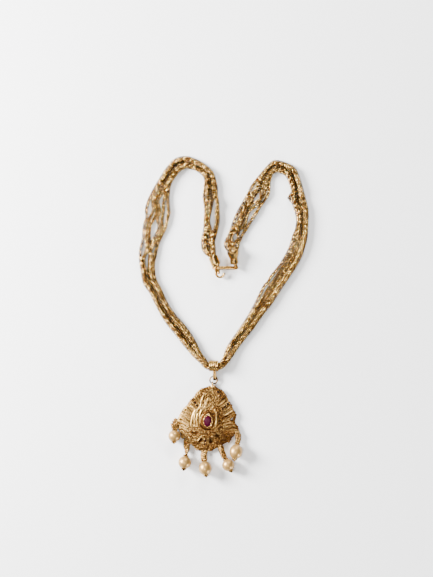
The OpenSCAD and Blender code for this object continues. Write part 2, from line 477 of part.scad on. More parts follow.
// Jump ring that joins the loop of a pin to a loop of the pendant
module jump_ring(n) {
    middle = (DROPS[n - 1][3] + DROPS[n - 1][4]) / 2;
    laid() color(gold) translate([middle[0], middle[1], LOOP_Z])
        wire_arc(jump_r, loop_wire, 0, 360);
}

strand(0);  // strand_1
strand(1);  // strand_2
strand(2);  // strand_3
strand(3);  // strand_4
strand(4);  // strand_5
strand(5);  // strand_6
hook_end();
eye_end();
sleeve();
bail_ring();
pendant();
red_stone();
pearl(1);  // pearl_1
pearl(2);  // pearl_2
pearl(3);  // pearl_3
pearl(4);  // pearl_4
pearl(5);  // pearl_5
pin(1);  // pin_1
pin(2);  // pin_2
pin(3);  // pin_3
pin(4);  // pin_4
pin(5);  // pin_5
jump_ring(1);  // jump_ring_1
jump_ring(2);  // jump_ring_2
jump_ring(3);  // jump_ring_3
jump_ring(4);  // jump_ring_4
jump_ring(5);  // jump_ring_5
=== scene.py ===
"""Looks of a long necklace: chain strands, clasp, wound sleeve, cast pendant, red stone and pearls."""

import bpy
import numpy as np
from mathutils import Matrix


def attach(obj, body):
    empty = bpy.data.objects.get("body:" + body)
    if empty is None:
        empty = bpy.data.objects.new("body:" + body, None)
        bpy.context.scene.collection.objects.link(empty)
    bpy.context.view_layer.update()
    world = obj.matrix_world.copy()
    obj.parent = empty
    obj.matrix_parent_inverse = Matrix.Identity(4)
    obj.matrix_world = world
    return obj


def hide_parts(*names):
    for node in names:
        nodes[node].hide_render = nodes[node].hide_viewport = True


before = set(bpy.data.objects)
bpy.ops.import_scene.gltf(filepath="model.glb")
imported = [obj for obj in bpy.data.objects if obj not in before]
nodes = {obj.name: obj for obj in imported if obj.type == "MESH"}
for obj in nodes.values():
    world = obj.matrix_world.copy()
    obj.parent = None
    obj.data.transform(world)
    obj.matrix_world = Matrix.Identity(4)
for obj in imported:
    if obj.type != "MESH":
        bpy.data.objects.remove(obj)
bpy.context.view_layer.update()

# Floor, light and camera
# The necklace lies on a plain pale surface and is seen from straight above, as in the photo.
# A soft main light stands low at the left, and weak ones at the front right, behind and above.
bpy.ops.mesh.primitive_plane_add(size=4.0, location=(0, 0, -0.0002))
floor = bpy.context.object
floor.name = "floor"
paper = bpy.data.materials.new("paper")
paper.use_nodes = True
paper.node_tree.nodes["Principled BSDF"].inputs["Base Color"].default_value = (0.96, 0.96, 0.96, 1)
paper.node_tree.nodes["Principled BSDF"].inputs["Roughness"].default_value = 0.85
floor.data.materials.append(paper)

for name, place, size, power in (
    ("key", (-0.90, 0.25, 0.46), 0.40, 84.0),
    ("fill", (0.62, -0.68, 0.30), 0.16, 9.0),
    ("back", (0.15, 0.95, 0.55), 0.35, 12.0),
    ("top", (-0.25, -0.15, 1.35), 0.25, 9.0),
):
    light = bpy.data.lights.new(name, "AREA")
    light.size = size
    light.energy = power
    lamp = bpy.data.objects.new(name, light)
    lamp.location = place
    from_lamp = np.array((0.0, 0.0, 0.0)) - np.array(place)
    lamp.rotation_euler = (
        np.arctan2(np.hypot(from_lamp[0], from_lamp[1]), -from_lamp[2]), 0,
        np.arctan2(from_lamp[1], from_lamp[0]) - np.pi / 2)
    bpy.context.scene.collection.objects.link(lamp)

world = bpy.data.worlds.new("studio")
world.use_nodes = True
world.node_tree.nodes["Background"].inputs["Color"].default_value = (1.0, 0.98, 0.95, 1)
world.node_tree.nodes["Background"].inputs["Strength"].default_value = 0.14
bpy.context.scene.world = world

lens = bpy.data.cameras.new("photo")
lens.lens = 85
lens.dof.use_dof = False
camera = bpy.data.objects.new("photo", lens)
camera.location = (-0.0060, 0.0222, 1.094)
bpy.context.scene.collection.objects.link(camera)
bpy.context.scene.camera = camera

# Chain strands
# Each strand is a fine gold chain of nearly round links, every link turned about a quarter
# against the last and passed through it. The ends go into the two caps of the clasp.
LINK = 0.0034      # outside width of a link where it has room
LONG = 0.0031      # outside length of a link
WIRE = 0.0009      # thickness of its wire
PITCH = 0.00115    # distance between two links: less than in a real chain, for the dense look,
                   # so that each link overlaps the one before last
NEAR = 0.0007      # a link points along the stretch from this far before it to this far after
# One row for each place along the bundle: x, y, how far the strands are pressed
# together, how far strands 1 to 6 lie to the inner side, and their heights.
ROUTE = (
    (-.0060, .0415, 0.70, (-.0019,-.0009,-.0009,.0009,.0009,.0019), (.0032,.0049,.0015,.0015,.0049,.0032)),
    (-.0081, .0469, 0.72, (-.0019,-.0009,-.0009,.0009,.0009,.0019), (.0032,.0049,.0015,.0015,.0049,.0032)),
    (-.0097, .0506, 0.90, (-.0031,-.0018,-.0008,.0014,.0024,.0040), (.0019,.0039,.0013,.0013,.0037,.0017)),
    (-.0110, .0542, 1.00, (-.0040,-.0026,-.0011,.0014,.0032,.0050), (.0014,.0035,.0014,.0014,.0033,.0014)),
    (-.0118, .0596, 1.00, (-.0043,-.0027,-.0012,.0013,.0030,.0047), (.0014,.0035,.0014,.0014,.0035,.0014)),
    (-.0102, .0676, 1.00, (-.0047,-.0030,-.0006,.0012,.0037,.0046), (.0014,.0035,.0014,.0034,.0038,.0014)),
    (-.0090, .0756, 1.00, (-.0052,-.0039,.0027,.0027,.0052,.0053), (.0014,.0036,.0014,.0039,.0039,.0014)),
    (-.0090, .0836, 1.00, (-.0052,-.0036,.0012,.0019,.0044,.0050), (.0014,.0035,.0014,.0039,.0039,.0014)),
    (-.0092, .0896, 1.00, (-.0050,-.0049,-.0002,.0014,.0040,.0053), (.0014,.0039,.0014,.0036,.0036,.0014)),
    (-.0095, .0961, 1.00, (-.0044,-.0028,-.0015,.0010,.0032,.0056), (.0014,.0035,.0014,.0014,.0035,.0014)),
    (-.0098, .1036, 1.00, (-.0042,-.0027,-.0014,.0011,.0029,.0046), (.0014,.0035,.0014,.0014,.0035,.0014)),
    (-.0124, .1121, 0.90, (-.0043,-.0032,-.0020,.0002,.0014,.0026), (.0014,.0034,.0014,.0014,.0034,.0014)),
    (-.0179, .1191, 0.86, (-.0025,-.0014,-.0003,.0018,.0029,.0040), (.0014,.0033,.0014,.0014,.0033,.0014)),
    (-.0234, .1236, 0.90, (-.0008,.0004,.0015,.0037,.0049,.0061), (.0014,.0034,.0014,.0014,.0034,.0014)),
    (-.0289, .1246, 1.00, (-.0018,-.0004,.0009,.0034,.0047,.0060), (.0014,.0035,.0014,.0014,.0035,.0014)),
    (-.0354, .1216, 1.00, (-.0039,-.0023,-.0008,.0017,.0033,.0048), (.0014,.0035,.0014,.0014,.0035,.0014)),
    (-.0414, .1156, 1.00, (-.0038,-.0023,-.0009,.0016,.0031,.0045), (.0014,.0035,.0014,.0014,.0035,.0014)),
    (-.0464, .1076, 1.00, (-.0040,-.0025,-.0010,.0015,.0030,.0044), (.0014,.0035,.0014,.0014,.0035,.0014)),
    (-.0499, .0996, 1.00, (-.0053,-.0031,-.0005,.0020,.0042,.0064), (.0014,.0030,.0014,.0014,.0029,.0014)),
    (-.0514, .0916, 1.00, (-.0078,-.0051,-.0028,-.0007,.0041,.0073), (.0014,.0014,.0030,.0014,.0014,.0014)),
    (-.0524, .0836, 1.00, (-.0091,-.0034,-.0008,.0017,.0045,.0090), (.0014,.0014,.0014,.0014,.0014,.0014)),
    (-.0529, .0776, 1.00, (-.0082,-.0056,-.0021,.0004,.0041,.0082), (.0014,.0014,.0014,.0014,.0014,.0014)),
    (-.0544, .0716, 1.00, (-.0086,-.0061,-.0037,.0030,.0056,.0082), (.0014,.0014,.0014,.0014,.0014,.0014)),
    (-.0564, .0646, 1.00, (-.0075,-.0052,-.0029,.0024,.0046,.0068), (.0014,.0023,.0014,.0014,.0025,.0014)),
    (-.0579, .0596, 1.00, (-.0062,-.0039,-.0013,.0012,.0037,.0061), (.0014,.0029,.0014,.0014,.0020,.0014)),
    (-.0587, .0556, 1.00, (-.0063,-.0020,-.0018,.0007,.0024,.0057), (.0014,.0039,.0014,.0014,.0034,.0014)),
    (-.0594, .0516, 1.00, (-.0066,-.0007,-.0022,.0003,.0017,.0056), (.0014,.0035,.0014,.0014,.0035,.0014)),
    (-.0599, .0476, 1.00, (-.0062,-.0029,-.0029,.0012,.0030,.0053), (.0014,.0039,.0014,.0014,.0033,.0014)),
    (-.0604, .0436, 1.00, (-.0057,-.0045,-.0032,.0012,.0030,.0049), (.0014,.0035,.0014,.0014,.0031,.0014)),
    (-.0599, .0356, 1.00, (-.0050,-.0034,-.0018,.0007,.0026,.0044), (.0014,.0034,.0014,.0014,.0031,.0014)),
    (-.0584, .0276, 1.00, (-.0049,-.0034,-.0018,.0007,.0025,.0042), (.0014,.0034,.0014,.0014,.0033,.0014)),
    (-.0544, .0196, 1.00, (-.0039,-.0025,-.0012,.0013,.0027,.0041), (.0014,.0035,.0014,.0014,.0035,.0014)),
    (-.0504, .0116, 1.00, (-.0039,-.0026,-.0013,.0012,.0025,.0038), (.0014,.0035,.0014,.0014,.0035,.0014)),
    (-.0459, .0036, 1.00, (-.0042,-.0029,-.0016,.0009,.0022,.0035), (.0014,.0035,.0014,.0014,.0035,.0014)),
    (-.0404, -.0044, 1.00, (-.0045,-.0030,-.0016,.0009,.0024,.0039), (.0014,.0034,.0014,.0014,.0034,.0014)),
    (-.0339, -.0124, 1.00, (-.0044,-.0029,-.0014,.0011,.0027,.0042), (.0014,.0034,.0014,.0014,.0034,.0014)),
    (-.0284, -.0204, 1.00, (-.0040,-.0025,-.0011,.0014,.0029,.0043), (.0014,.0034,.0014,.0014,.0034,.0014)),
    (-.0234, -.0284, 0.88, (-.0028,-.0017,-.0006,.0016,.0027,.0038), (.0014,.0033,.0014,.0014,.0033,.0014)),
    (-.0202, -.0322, 0.85, (-.0027,-.0012,-.0010,.0011,.0013,.0028), (.0026,.0042,.0013,.0013,.0042,.0026)),
    (-.0165, -.0362, 0.82, (-.0021,-.0010,-.0010,.0010,.0010,.0021), (.0034,.0052,.0017,.0017,.0052,.0034)),
    (-.0120, -.0406, 0.78, (-.0020,-.0010,-.0010,.0010,.0010,.0020), (.0044,.0061,.0027,.0027,.0061,.0044)),
    (-.0028, -.0406, 0.78, (-.0020,-.0010,-.0010,.0010,.0010,.0020), (.0044,.0061,.0027,.0027,.0061,.0044)),
    (.0020, -.0360, 0.82, (-.0021,-.0010,-.0010,.0011,.0011,.0022), (.0033,.0051,.0016,.0016,.0051,.0033)),
    (.0068, -.0282, 0.86, (-.0025,-.0012,-.0004,.0017,.0026,.0038), (.0019,.0039,.0014,.0014,.0038,.0019)),
    (.0116, -.0204, 0.88, (-.0031,-.0020,-.0009,.0013,.0024,.0035), (.0014,.0033,.0014,.0014,.0033,.0014)),
    (.0176, -.0124, 0.95, (-.0034,-.0022,-.0010,.0014,.0026,.0038), (.0014,.0034,.0014,.0014,.0034,.0014)),
    (.0231, -.0044, 1.00, (-.0038,-.0025,-.0012,.0013,.0026,.0039), (.0014,.0035,.0014,.0014,.0035,.0014)),
    (.0281, .0036, 1.00, (-.0042,-.0027,-.0013,.0012,.0028,.0044), (.0014,.0034,.0014,.0014,.0034,.0014)),
    (.0336, .0116, 1.00, (-.0050,-.0037,-.0023,.0002,.0029,.0057), (.0014,.0035,.0014,.0014,.0014,.0014)),
    (.0386, .0196, 1.00, (-.0051,-.0037,-.0022,.0003,.0029,.0066), (.0014,.0034,.0014,.0014,.0014,.0014)),
    (.0411, .0236, 1.00, (-.0052,-.0037,-.0022,.0003,.0030,.0057), (.0014,.0034,.0014,.0014,.0014,.0014)),
    (.0431, .0271, 1.00, (-.0056,-.0042,-.0028,-.0003,.0023,.0059), (.0014,.0035,.0014,.0014,.0014,.0014)),
    (.0491, .0356, 1.00, (-.0054,-.0040,-.0026,-.0001,.0026,.0053), (.0014,.0035,.0014,.0014,.0014,.0014)),
    (.0541, .0436, 1.00, (-.0054,-.0039,-.0026,-.0001,.0025,.0051), (.0014,.0035,.0014,.0014,.0014,.0014)),
    (.0581, .0516, 1.00, (-.0053,-.0039,-.0026,-.0001,.0025,.0050), (.0014,.0035,.0014,.0014,.0014,.0014)),
    (.0606, .0596, 1.00, (-.0052,-.0039,-.0026,-.0001,.0024,.0049), (.0014,.0035,.0014,.0014,.0014,.0014)),
    (.0618, .0636, 1.00, (-.0049,-.0035,-.0021,.0004,.0026,.0049), (.0014,.0035,.0014,.0014,.0026,.0014)),
    (.0626, .0676, 1.00, (-.0045,-.0030,-.0014,.0011,.0026,.0040), (.0014,.0035,.0014,.0014,.0034,.0014)),
    (.0636, .0756, 1.00, (-.0038,-.0025,-.0013,.0012,.0025,.0037), (.0014,.0035,.0014,.0014,.0035,.0014)),
    (.0631, .0836, 1.00, (-.0044,-.0028,-.0012,.0013,.0029,.0045), (.0014,.0034,.0014,.0014,.0034,.0014)),
    (.0606, .0916, 1.00, (-.0049,-.0030,-.0012,.0013,.0030,.0047), (.0014,.0032,.0014,.0014,.0033,.0014)),
    (.0596, .0956, 1.00, (-.0050,-.0032,-.0014,.0011,.0038,.0066), (.0014,.0033,.0014,.0014,.0032,.0014)),
    (.0591, .0996, 1.00, (-.0044,-.0031,-.0017,.0008,.0021,.0034), (.0014,.0035,.0014,.0014,.0037,.0014)),
    (.0571, .1076, 1.00, (-.0040,-.0027,-.0015,.0009,.0022,.0034), (.0014,.0035,.0014,.0014,.0035,.0014)),
    (.0536, .1146, 1.00, (-.0043,-.0030,-.0017,.0008,.0022,.0035), (.0014,.0035,.0014,.0014,.0035,.0014)),
    (.0476, .1196, 0.95, (-.0023,-.0011,.0001,.0025,.0037,.0049), (.0014,.0034,.0014,.0014,.0034,.0014)),
    (.0421, .1196, 1.00, (-.0037,-.0023,-.0010,.0015,.0029,.0042), (.0014,.0035,.0014,.0014,.0035,.0014)),
    (.0366, .1161, 0.86, (-.0025,-.0015,-.0005,.0016,.0027,.0038), (.0014,.0033,.0014,.0014,.0033,.0014)),
    (.0316, .1096, 0.94, (-.0028,-.0016,-.0005,.0018,.0041,.0064), (.0014,.0035,.0014,.0014,.0022,.0014)),
    (.0281, .1016, 1.00, (-.0049,-.0012,.0010,.0035,.0063,.0092), (.0014,.0028,.0014,.0014,.0014,.0014)),
    (.0246, .0946, 1.00, (-.0050,-.0027,-.0002,.0050,.0060,.0086), (.0014,.0019,.0014,.0042,.0014,.0014)),
    (.0226, .0906, 1.00, (-.0053,-.0028,-.0004,.0020,.0051,.0078), (.0014,.0014,.0030,.0019,.0014,.0014)),
    (.0216, .0881, 1.00, (-.0056,-.0032,-.0014,.0006,.0039,.0074), (.0014,.0014,.0035,.0014,.0014,.0014)),
    (.0206, .0856, 1.00, (-.0059,-.0035,-.0023,-.0011,.0020,.0070), (.0014,.0014,.0036,.0014,.0014,.0014)),
    (.0184, .0816, 1.00, (-.0061,-.0037,-.0025,-.0013,.0013,.0066), (.0014,.0014,.0035,.0014,.0014,.0014)),
    (.0158, .0761, 1.00, (-.0060,-.0030,-.0015,.0000,.0029,.0059), (.0014,.0014,.0034,.0014,.0014,.0014)),
    (.0136, .0716, 1.00, (-.0057,-.0031,-.0014,.0001,.0029,.0056), (.0014,.0017,.0039,.0014,.0014,.0014)),
    (.0114, .0676, 1.00, (-.0049,-.0034,-.0007,-.0021,.0008,.0050), (.0014,.0037,.0040,.0014,.0014,.0014)),
    (.0091, .0621, 0.90, (-.0048,-.0049,-.0025,-.0025,.0032,.0048), (.0014,.0038,.0038,.0014,.0034,.0014)),
    (.0078, .0591, 1.00, (-.0052,-.0035,-.0006,-.0018,.0019,.0046), (.0014,.0035,.0035,.0014,.0014,.0014)),
    (.0077, .0553, 0.95, (-.0056,-.0034,.0002,-.0018,.0017,.0042), (.0020,.0042,.0041,.0014,.0014,.0020)),
    (.0077, .0510, 0.88, (-.0029,-.0013,.0013,-.0012,.0012,.0029), (.0043,.0066,.0066,.0023,.0023,.0043)),
    (.0083, .0470, 0.73, (-.0018,-.0009,.0009,-.0009,.0009,.0018), (.0040,.0056,.0056,.0024,.0024,.0040)),
)


def make_mesh(name, points, faces, smooth=True):
    """A mesh object from an array of points and an array of triangles or quads."""
    mesh = bpy.data.meshes.new(name)
    points = np.asarray(points, np.float32)
    faces = np.asarray(faces, np.int32)
    sides = faces.shape[1]
    mesh.vertices.add(len(points))
    mesh.vertices.foreach_set("co", points.ravel())
    mesh.loops.add(faces.size)
    mesh.loops.foreach_set("vertex_index", faces.ravel())
    mesh.polygons.add(len(faces))
    mesh.polygons.foreach_set("loop_start", np.arange(0, faces.size, sides, dtype=np.int32))
    mesh.polygons.foreach_set("use_smooth", np.full(len(faces), smooth))
    mesh.update(calc_edges=True)
    mesh.validate()
    obj = bpy.data.objects.new(name, mesh)
    bpy.context.scene.collection.objects.link(obj)
    return obj


def set_tone(obj, name, values):
    """Stores one value for each point of a mesh, for its material to read."""
    layer = obj.data.attributes.new(name, "FLOAT", "POINT")
    layer.data.foreach_set("value", np.asarray(values, np.float32))


def smooth_path(points, steps):
    """A curve through the points: between points b and c, with neighbours a and d,
    0.5 * (2b + (c - a) t + (2a - 5b + 4c - d) t^2 + (3b - a - 3c + d) t^3)."""
    p = np.vstack([2 * points[0] - points[1], points, 2 * points[-1] - points[-2]])
    a, b, c, d = p[:-3, None], p[1:-2, None], p[2:-1, None], p[3:, None]
    t = (np.arange(steps) / steps)[None, :, None]
    curve = 0.5 * (2 * b + (c - a) * t + (2 * a - 5 * b + 4 * c - d) * t ** 2
                   + (3 * b - a - 3 * c + d) * t ** 3)
    return np.vstack([curve.reshape(-1, points.shape[1]), points[-1:]])


def ring_of_wire(radius, wire, around, across):
    """Points and quads of a ring of round wire in the local XY plane: a point lies at
    (radius + wire/2 cos b) from the middle, wire/2 sin b above the plane."""
    a = np.arange(around) * 2 * np.pi / around
    b = np.arange(across) * 2 * np.pi / across
    out = radius + wire / 2 * np.cos(b)[None, :]
    points = np.stack([out * np.cos(a)[:, None], out * np.sin(a)[:, None],
                       np.broadcast_to(wire / 2 * np.sin(b), (around, across))], -1)
    i, j = np.meshgrid(np.arange(around), np.arange(across), indexing="ij")
    i2, j2 = (i + 1) % around, (j + 1) % across
    quads = np.stack([i * across + j, i2 * across + j, i2 * across + j2, i * across + j2], -1)
    return points.reshape(-1, 3), quads.reshape(-1, 4)


rows = np.array([(x, y, slim) + side + height for x, y, slim, side, height in ROUTE])
ahead = np.vstack([rows[1:2, :2] - rows[:1, :2], rows[2:, :2] - rows[:-2, :2],
                   rows[-1:, :2] - rows[-2:-1, :2]])
ahead /= np.linalg.norm(ahead, axis=1)[:, None]
inner = np.stack([-ahead[:, 1], ahead[:, 0]], 1)
MIDDLE = np.array((-0.00081, 0.00084, 0.0))      # from places in the source to the frame's

chains = []
# A link has 12 points around and 5 across its wire, and painted shade on the inner side of the wire
link_points, link_quads = ring_of_wire((LINK - WIRE) / 2, WIRE, 12, 5)
from_axis = np.hypot(link_points[:, 1], link_points[:, 2]) / (LINK / 2)
link_inner = np.clip((0.92 - from_axis) / 0.5, 0, 1)
link_points[:, 0] += np.sign(np.round(link_points[:, 0], 6)) * (LONG - LINK) / 2
strands = [smooth_path(np.column_stack([rows[:, :2] + inner * rows[:, 3 + n:4 + n],
                                        rows[:, 9 + n], rows[:, 2]]), 24) for n in range(6)]
for n in range(6):
    fine = strands[n].copy()
    walked = np.concatenate([[0], np.cumsum(np.linalg.norm(np.diff(fine[:, :3], axis=0), axis=1))])
    # The links are about a tenth wider than the distance to the next strand, or more where it
    # is short, for the dense look. So links of neighbouring strands pass into each other.
    others = np.vstack([strands[k][:, :3] for k in range(6) if k != n])
    room = np.array([np.sqrt(np.min(np.sum((others - p) ** 2, axis=1))) for p in fine[:, :3]])
    size = np.clip(1.10 * room / LINK, 0.88 * fine[:, 3], 1.0)
    fine[:, 3] = np.convolve(np.pad(size, 12, "edge"), np.ones(25) / 25, "valid")
    fine[:, 2] = np.maximum(fine[:, 2], 0.49 * LINK * fine[:, 3])
    # Places of the links: closer together where the links are smaller
    places = [LONG / 2]
    while places[-1] < walked[-1] - LONG / 2:
        places.append(places[-1] + PITCH * np.interp(places[-1], walked, fine[:, 3]))
    places = np.array(places)
    at = np.column_stack([np.interp(places, walked, fine[:, k]) for k in range(3)])
    slim = np.interp(places, walked, fine[:, 3])
    step = np.column_stack([np.interp(places + NEAR, walked, fine[:, k])
                            - np.interp(places - NEAR, walked, fine[:, k]) for k in range(3)])
    step /= np.linalg.norm(step, axis=1)[:, None]
    side = np.column_stack([-step[:, 1], step[:, 0], np.zeros(len(step))])
    side /= np.linalg.norm(side, axis=1)[:, None]
    up = np.cross(step, side)
    count = np.arange(len(places))
    rng = np.random.default_rng(40 + n)
    turn = (np.pi / 2 * (count % 2) + 0.30 * np.sin(places / 0.031 + 1.7 * n)
            + 0.10 * np.sin(places / 0.0087 + n) + rng.normal(0, 0.12, len(places)))
    flat = side * np.cos(turn)[:, None] + up * np.sin(turn)[:, None]
    thick = np.cross(step, flat)
    shape = link_points[None] * slim[:, None, None]
    points = (at[:, None] + shape[..., :1] * step[:, None] + shape[..., 1:2] * flat[:, None]
              + shape[..., 2:] * thick[:, None] + MIDDLE)
    quads = link_quads[None] + (count * len(link_points))[:, None, None]
    chain = make_mesh("chain_%d" % (n + 1), points.reshape(-1, 3), quads.reshape(-1, 4))
    # Pairs of links with painted highlight and pairs with painted shade: three times out of four the next
    # pair is the other kind
    bright = (np.cumsum(rng.random(len(places) // 2 + 1) < 0.75) % 2)[count // 2]
    painted_pair_light = np.where(bright, 0.95, 0.05) + rng.normal(0, 0.1, len(places))
    set_tone(chain, "tone", np.repeat(painted_pair_light, len(link_points)))
    # Painted shade inside the links, low down, along the sides of the chain and on the pairs with painted
    # shade
    low = 1 - np.clip((points[..., 2] - 0.0002) / 0.0030, 0, 1)
    pair_shade = np.where(bright, 0.0, 0.31)[:, None]
    aside = np.abs(np.sum((points - MIDDLE - at[:, None]) * side[:, None], -1))
    edge = np.clip((2 * aside / (LINK * slim[:, None]) - 0.7) / 0.3, 0, 1)
    painted_shade = 0.8 * link_inner + 0.3 * low + 0.45 * edge + pair_shade
    set_tone(chain, "depth", np.clip(painted_shade, 0, 1).ravel())
    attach(chain, "root")
    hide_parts("strand_%d" % (n + 1))
    chains.append(chain)


# Colours of the gold: the tone mask moves a piece from the darker to the bright gold and carries painted
# highlight and painted shade on the chain, plate, grains and curls; the depth mask mixes in the brown
# below, as painted shade on these pieces, the sleeve and the necks, and evenly as a darker gold on the
# clasp, the small wires and the rings.
DARKER_GOLD = (0.21, 0.100, 0.024, 1)
BRIGHT_GOLD = (0.95, 0.61, 0.20, 1)
SHADE_BROWN = (0.060, 0.022, 0.005, 1)
EDGE_TINT = (0.45, 0.28, 0.13, 1)      # the gold seen edge-on stays warm and a little darker


def gold_with_painted_light():
    """Node group: gold colour from light to brown and its roughness, from two masks: Tone moves it from
    darker to bright gold, with random patches and flecks, and Depth mixes in the brown of painted shade.
    """
    group = bpy.data.node_groups.new("gold_with_painted_light", "ShaderNodeTree")
    for name, low in (("Depth", 0.0), ("Tone", 0.5)):
        socket = group.interface.new_socket(name, in_out="INPUT", socket_type="NodeSocketFloat")
        socket.default_value = low
    group.interface.new_socket("Color", in_out="OUTPUT", socket_type="NodeSocketColor")
    group.interface.new_socket("Roughness", in_out="OUTPUT", socket_type="NodeSocketFloat")
    add, link = group.nodes.new, group.links.new
    given, given_out = add("NodeGroupInput"), add("NodeGroupOutput")
    place = add("ShaderNodeTexCoord")
    cloud = add("ShaderNodeTexNoise")
    cloud.inputs["Scale"].default_value = 150
    cloud.inputs["Detail"].default_value = 3
    link(place.outputs["Object"], cloud.inputs["Vector"])
    fleck = add("ShaderNodeTexNoise")
    fleck.inputs["Scale"].default_value = 1100
    fleck.inputs["Detail"].default_value = 1
    link(place.outputs["Object"], fleck.inputs["Vector"])
    patches = add("ShaderNodeMapRange")
    patches.inputs["From Min"].default_value = 0.3
    patches.inputs["From Max"].default_value = 0.7
    patches.inputs["To Min"].default_value = -0.15
    patches.inputs["To Max"].default_value = 0.25
    link(cloud.outputs["Fac"], patches.inputs["Value"])
    flecks = add("ShaderNodeMapRange")
    flecks.inputs["From Min"].default_value = 0.4
    flecks.inputs["From Max"].default_value = 0.6
    flecks.inputs["To Min"].default_value = -0.1
    flecks.inputs["To Max"].default_value = 0.3
    link(fleck.outputs["Fac"], flecks.inputs["Value"])
    both = add("ShaderNodeMath")
    link(patches.outputs["Result"], both.inputs[0])
    link(flecks.outputs["Result"], both.inputs[1])
    mixed = add("ShaderNodeMath")
    link(both.outputs[0], mixed.inputs[0])
    link(given.outputs["Tone"], mixed.inputs[1])
    shade = add("ShaderNodeValToRGB")
    shade.color_ramp.elements[0].position = 0.15
    shade.color_ramp.elements[0].color = DARKER_GOLD
    shade.color_ramp.elements[1].position = 1.0
    shade.color_ramp.elements[1].color = BRIGHT_GOLD
    link(mixed.outputs[0], shade.inputs["Fac"])
    dark = add("ShaderNodeMix")
    dark.data_type = "RGBA"
    dark.inputs["B"].default_value = SHADE_BROWN
    link(shade.outputs["Color"], dark.inputs["A"])
    link(given.outputs["Depth"], dark.inputs["Factor"])
    link(dark.outputs["Result"], given_out.inputs["Color"])
    rough = add("ShaderNodeMapRange")
    rough.inputs["To Min"].default_value = 0.14
    rough.inputs["To Max"].default_value = 0.34
    link(cloud.outputs["Fac"], rough.inputs["Value"])
    link(rough.outputs["Result"], given_out.inputs["Roughness"])
    return group


def gold_material(name, depth="", tone="", bump=0.0, plain=(0.0, 0.3), rough=0.0):
    """A gold that reads its masks from the named attributes of the mesh, or else has the
    plain (depth, tone) all over."""
    material = bpy.data.materials.new(name)
    material.use_nodes = True
    tree = material.node_tree
    shader = tree.nodes["Principled BSDF"]
    shader.inputs["Metallic"].default_value = 1.0
    shader.inputs["Specular Tint"].default_value = EDGE_TINT
    group = tree.nodes.new("ShaderNodeGroup")
    group.node_tree = PAINTED_LIGHT_GOLD
    group.inputs["Depth"].default_value, group.inputs["Tone"].default_value = plain
    for word, socket, share in ((depth, "Depth", 1.0), (tone, "Tone", 0.9)):
        if word:
            value = tree.nodes.new("ShaderNodeAttribute")
            value.attribute_name = word
            scaled = tree.nodes.new("ShaderNodeMath")
            scaled.operation = "MULTIPLY"
            scaled.inputs[1].default_value = share
            tree.links.new(value.outputs["Fac"], scaled.inputs[0])
            tree.links.new(scaled.outputs[0], group.inputs[socket])
    tree.links.new(group.outputs["Color"], shader.inputs["Base Color"])
    duller = tree.nodes.new("ShaderNodeMath")
    duller.inputs[1].default_value = rough
    tree.links.new(group.outputs["Roughness"], duller.inputs[0])
    tree.links.new(duller.outputs[0], shader.inputs["Roughness"])
    if bump:
        place = tree.nodes.new("ShaderNodeTexCoord")
        grain = tree.nodes.new("ShaderNodeTexNoise")
        grain.inputs["Scale"].default_value = 1400
        grain.inputs["Detail"].default_value = 3
        height = tree.nodes.new("ShaderNodeBump")
        height.inputs["Strength"].default_value = bump
        height.inputs["Distance"].default_value = 0.0002
        tree.links.new(place.outputs["Object"], grain.inputs["Vector"])
        tree.links.new(grain.outputs["Fac"], height.inputs["Height"])
        tree.links.new(height.outputs["Normal"], shader.inputs["Normal"])
    return material


PAINTED_LIGHT_GOLD = gold_with_painted_light()
chain_gold = gold_material("chain_gold", depth="depth", tone="tone")
for chain in chains:
    chain.data.materials.append(chain_gold)

# Pendant
# A cast and soldered gold pendant: a domed plate with raised ribs that run from the stone
# to the edge, smooth leaves at the right, a lattice at the top and four recesses in the
# foot, darkened by painted shade. Wires, grains, stones and the loops are soldered on in
# the next sections.
EDGE = 0.001 * np.array((
    (-9.0, -56.6), (-6.2, -57.4), (-2.6, -59.5), (0.2, -60.9), (4.6, -68.5), (8.6, -76),
    (10.6, -80), (9.2, -84.8), (11.4, -88.8), (11.8, -92.7), (7.4, -97.5), (5.8, -101.1),
    (1.4, -102.7), (-4.2, -105.9), (-8.2, -107.8), (-14.2, -109.4), (-20.1, -108.2),
    (-25.3, -103.9), (-28.1, -102.3), (-30.5, -99.1), (-33.4, -98.3), (-33.6, -94.5),
    (-35.2, -91.5), (-36, -87.8), (-37.6, -86.4), (-35.3, -81.6), (-32.9, -76.8),
    (-30.5, -74.1), (-26.5, -68.9), (-23.3, -65.3), (-18.6, -59.7)))
HEART = np.array((-0.0126, -0.0840))     # middle of the dome
DOME = 0.105                             # radius of the dome
GROUND = 0.0004                          # how far the cast ground lies below the dome
STONE = np.array((0.00027, -0.0021))     # middle of the setting's round end, from HEART
SLOT = np.array((0.0199, 0.0007))        # middle of the pierced slot, from HEART
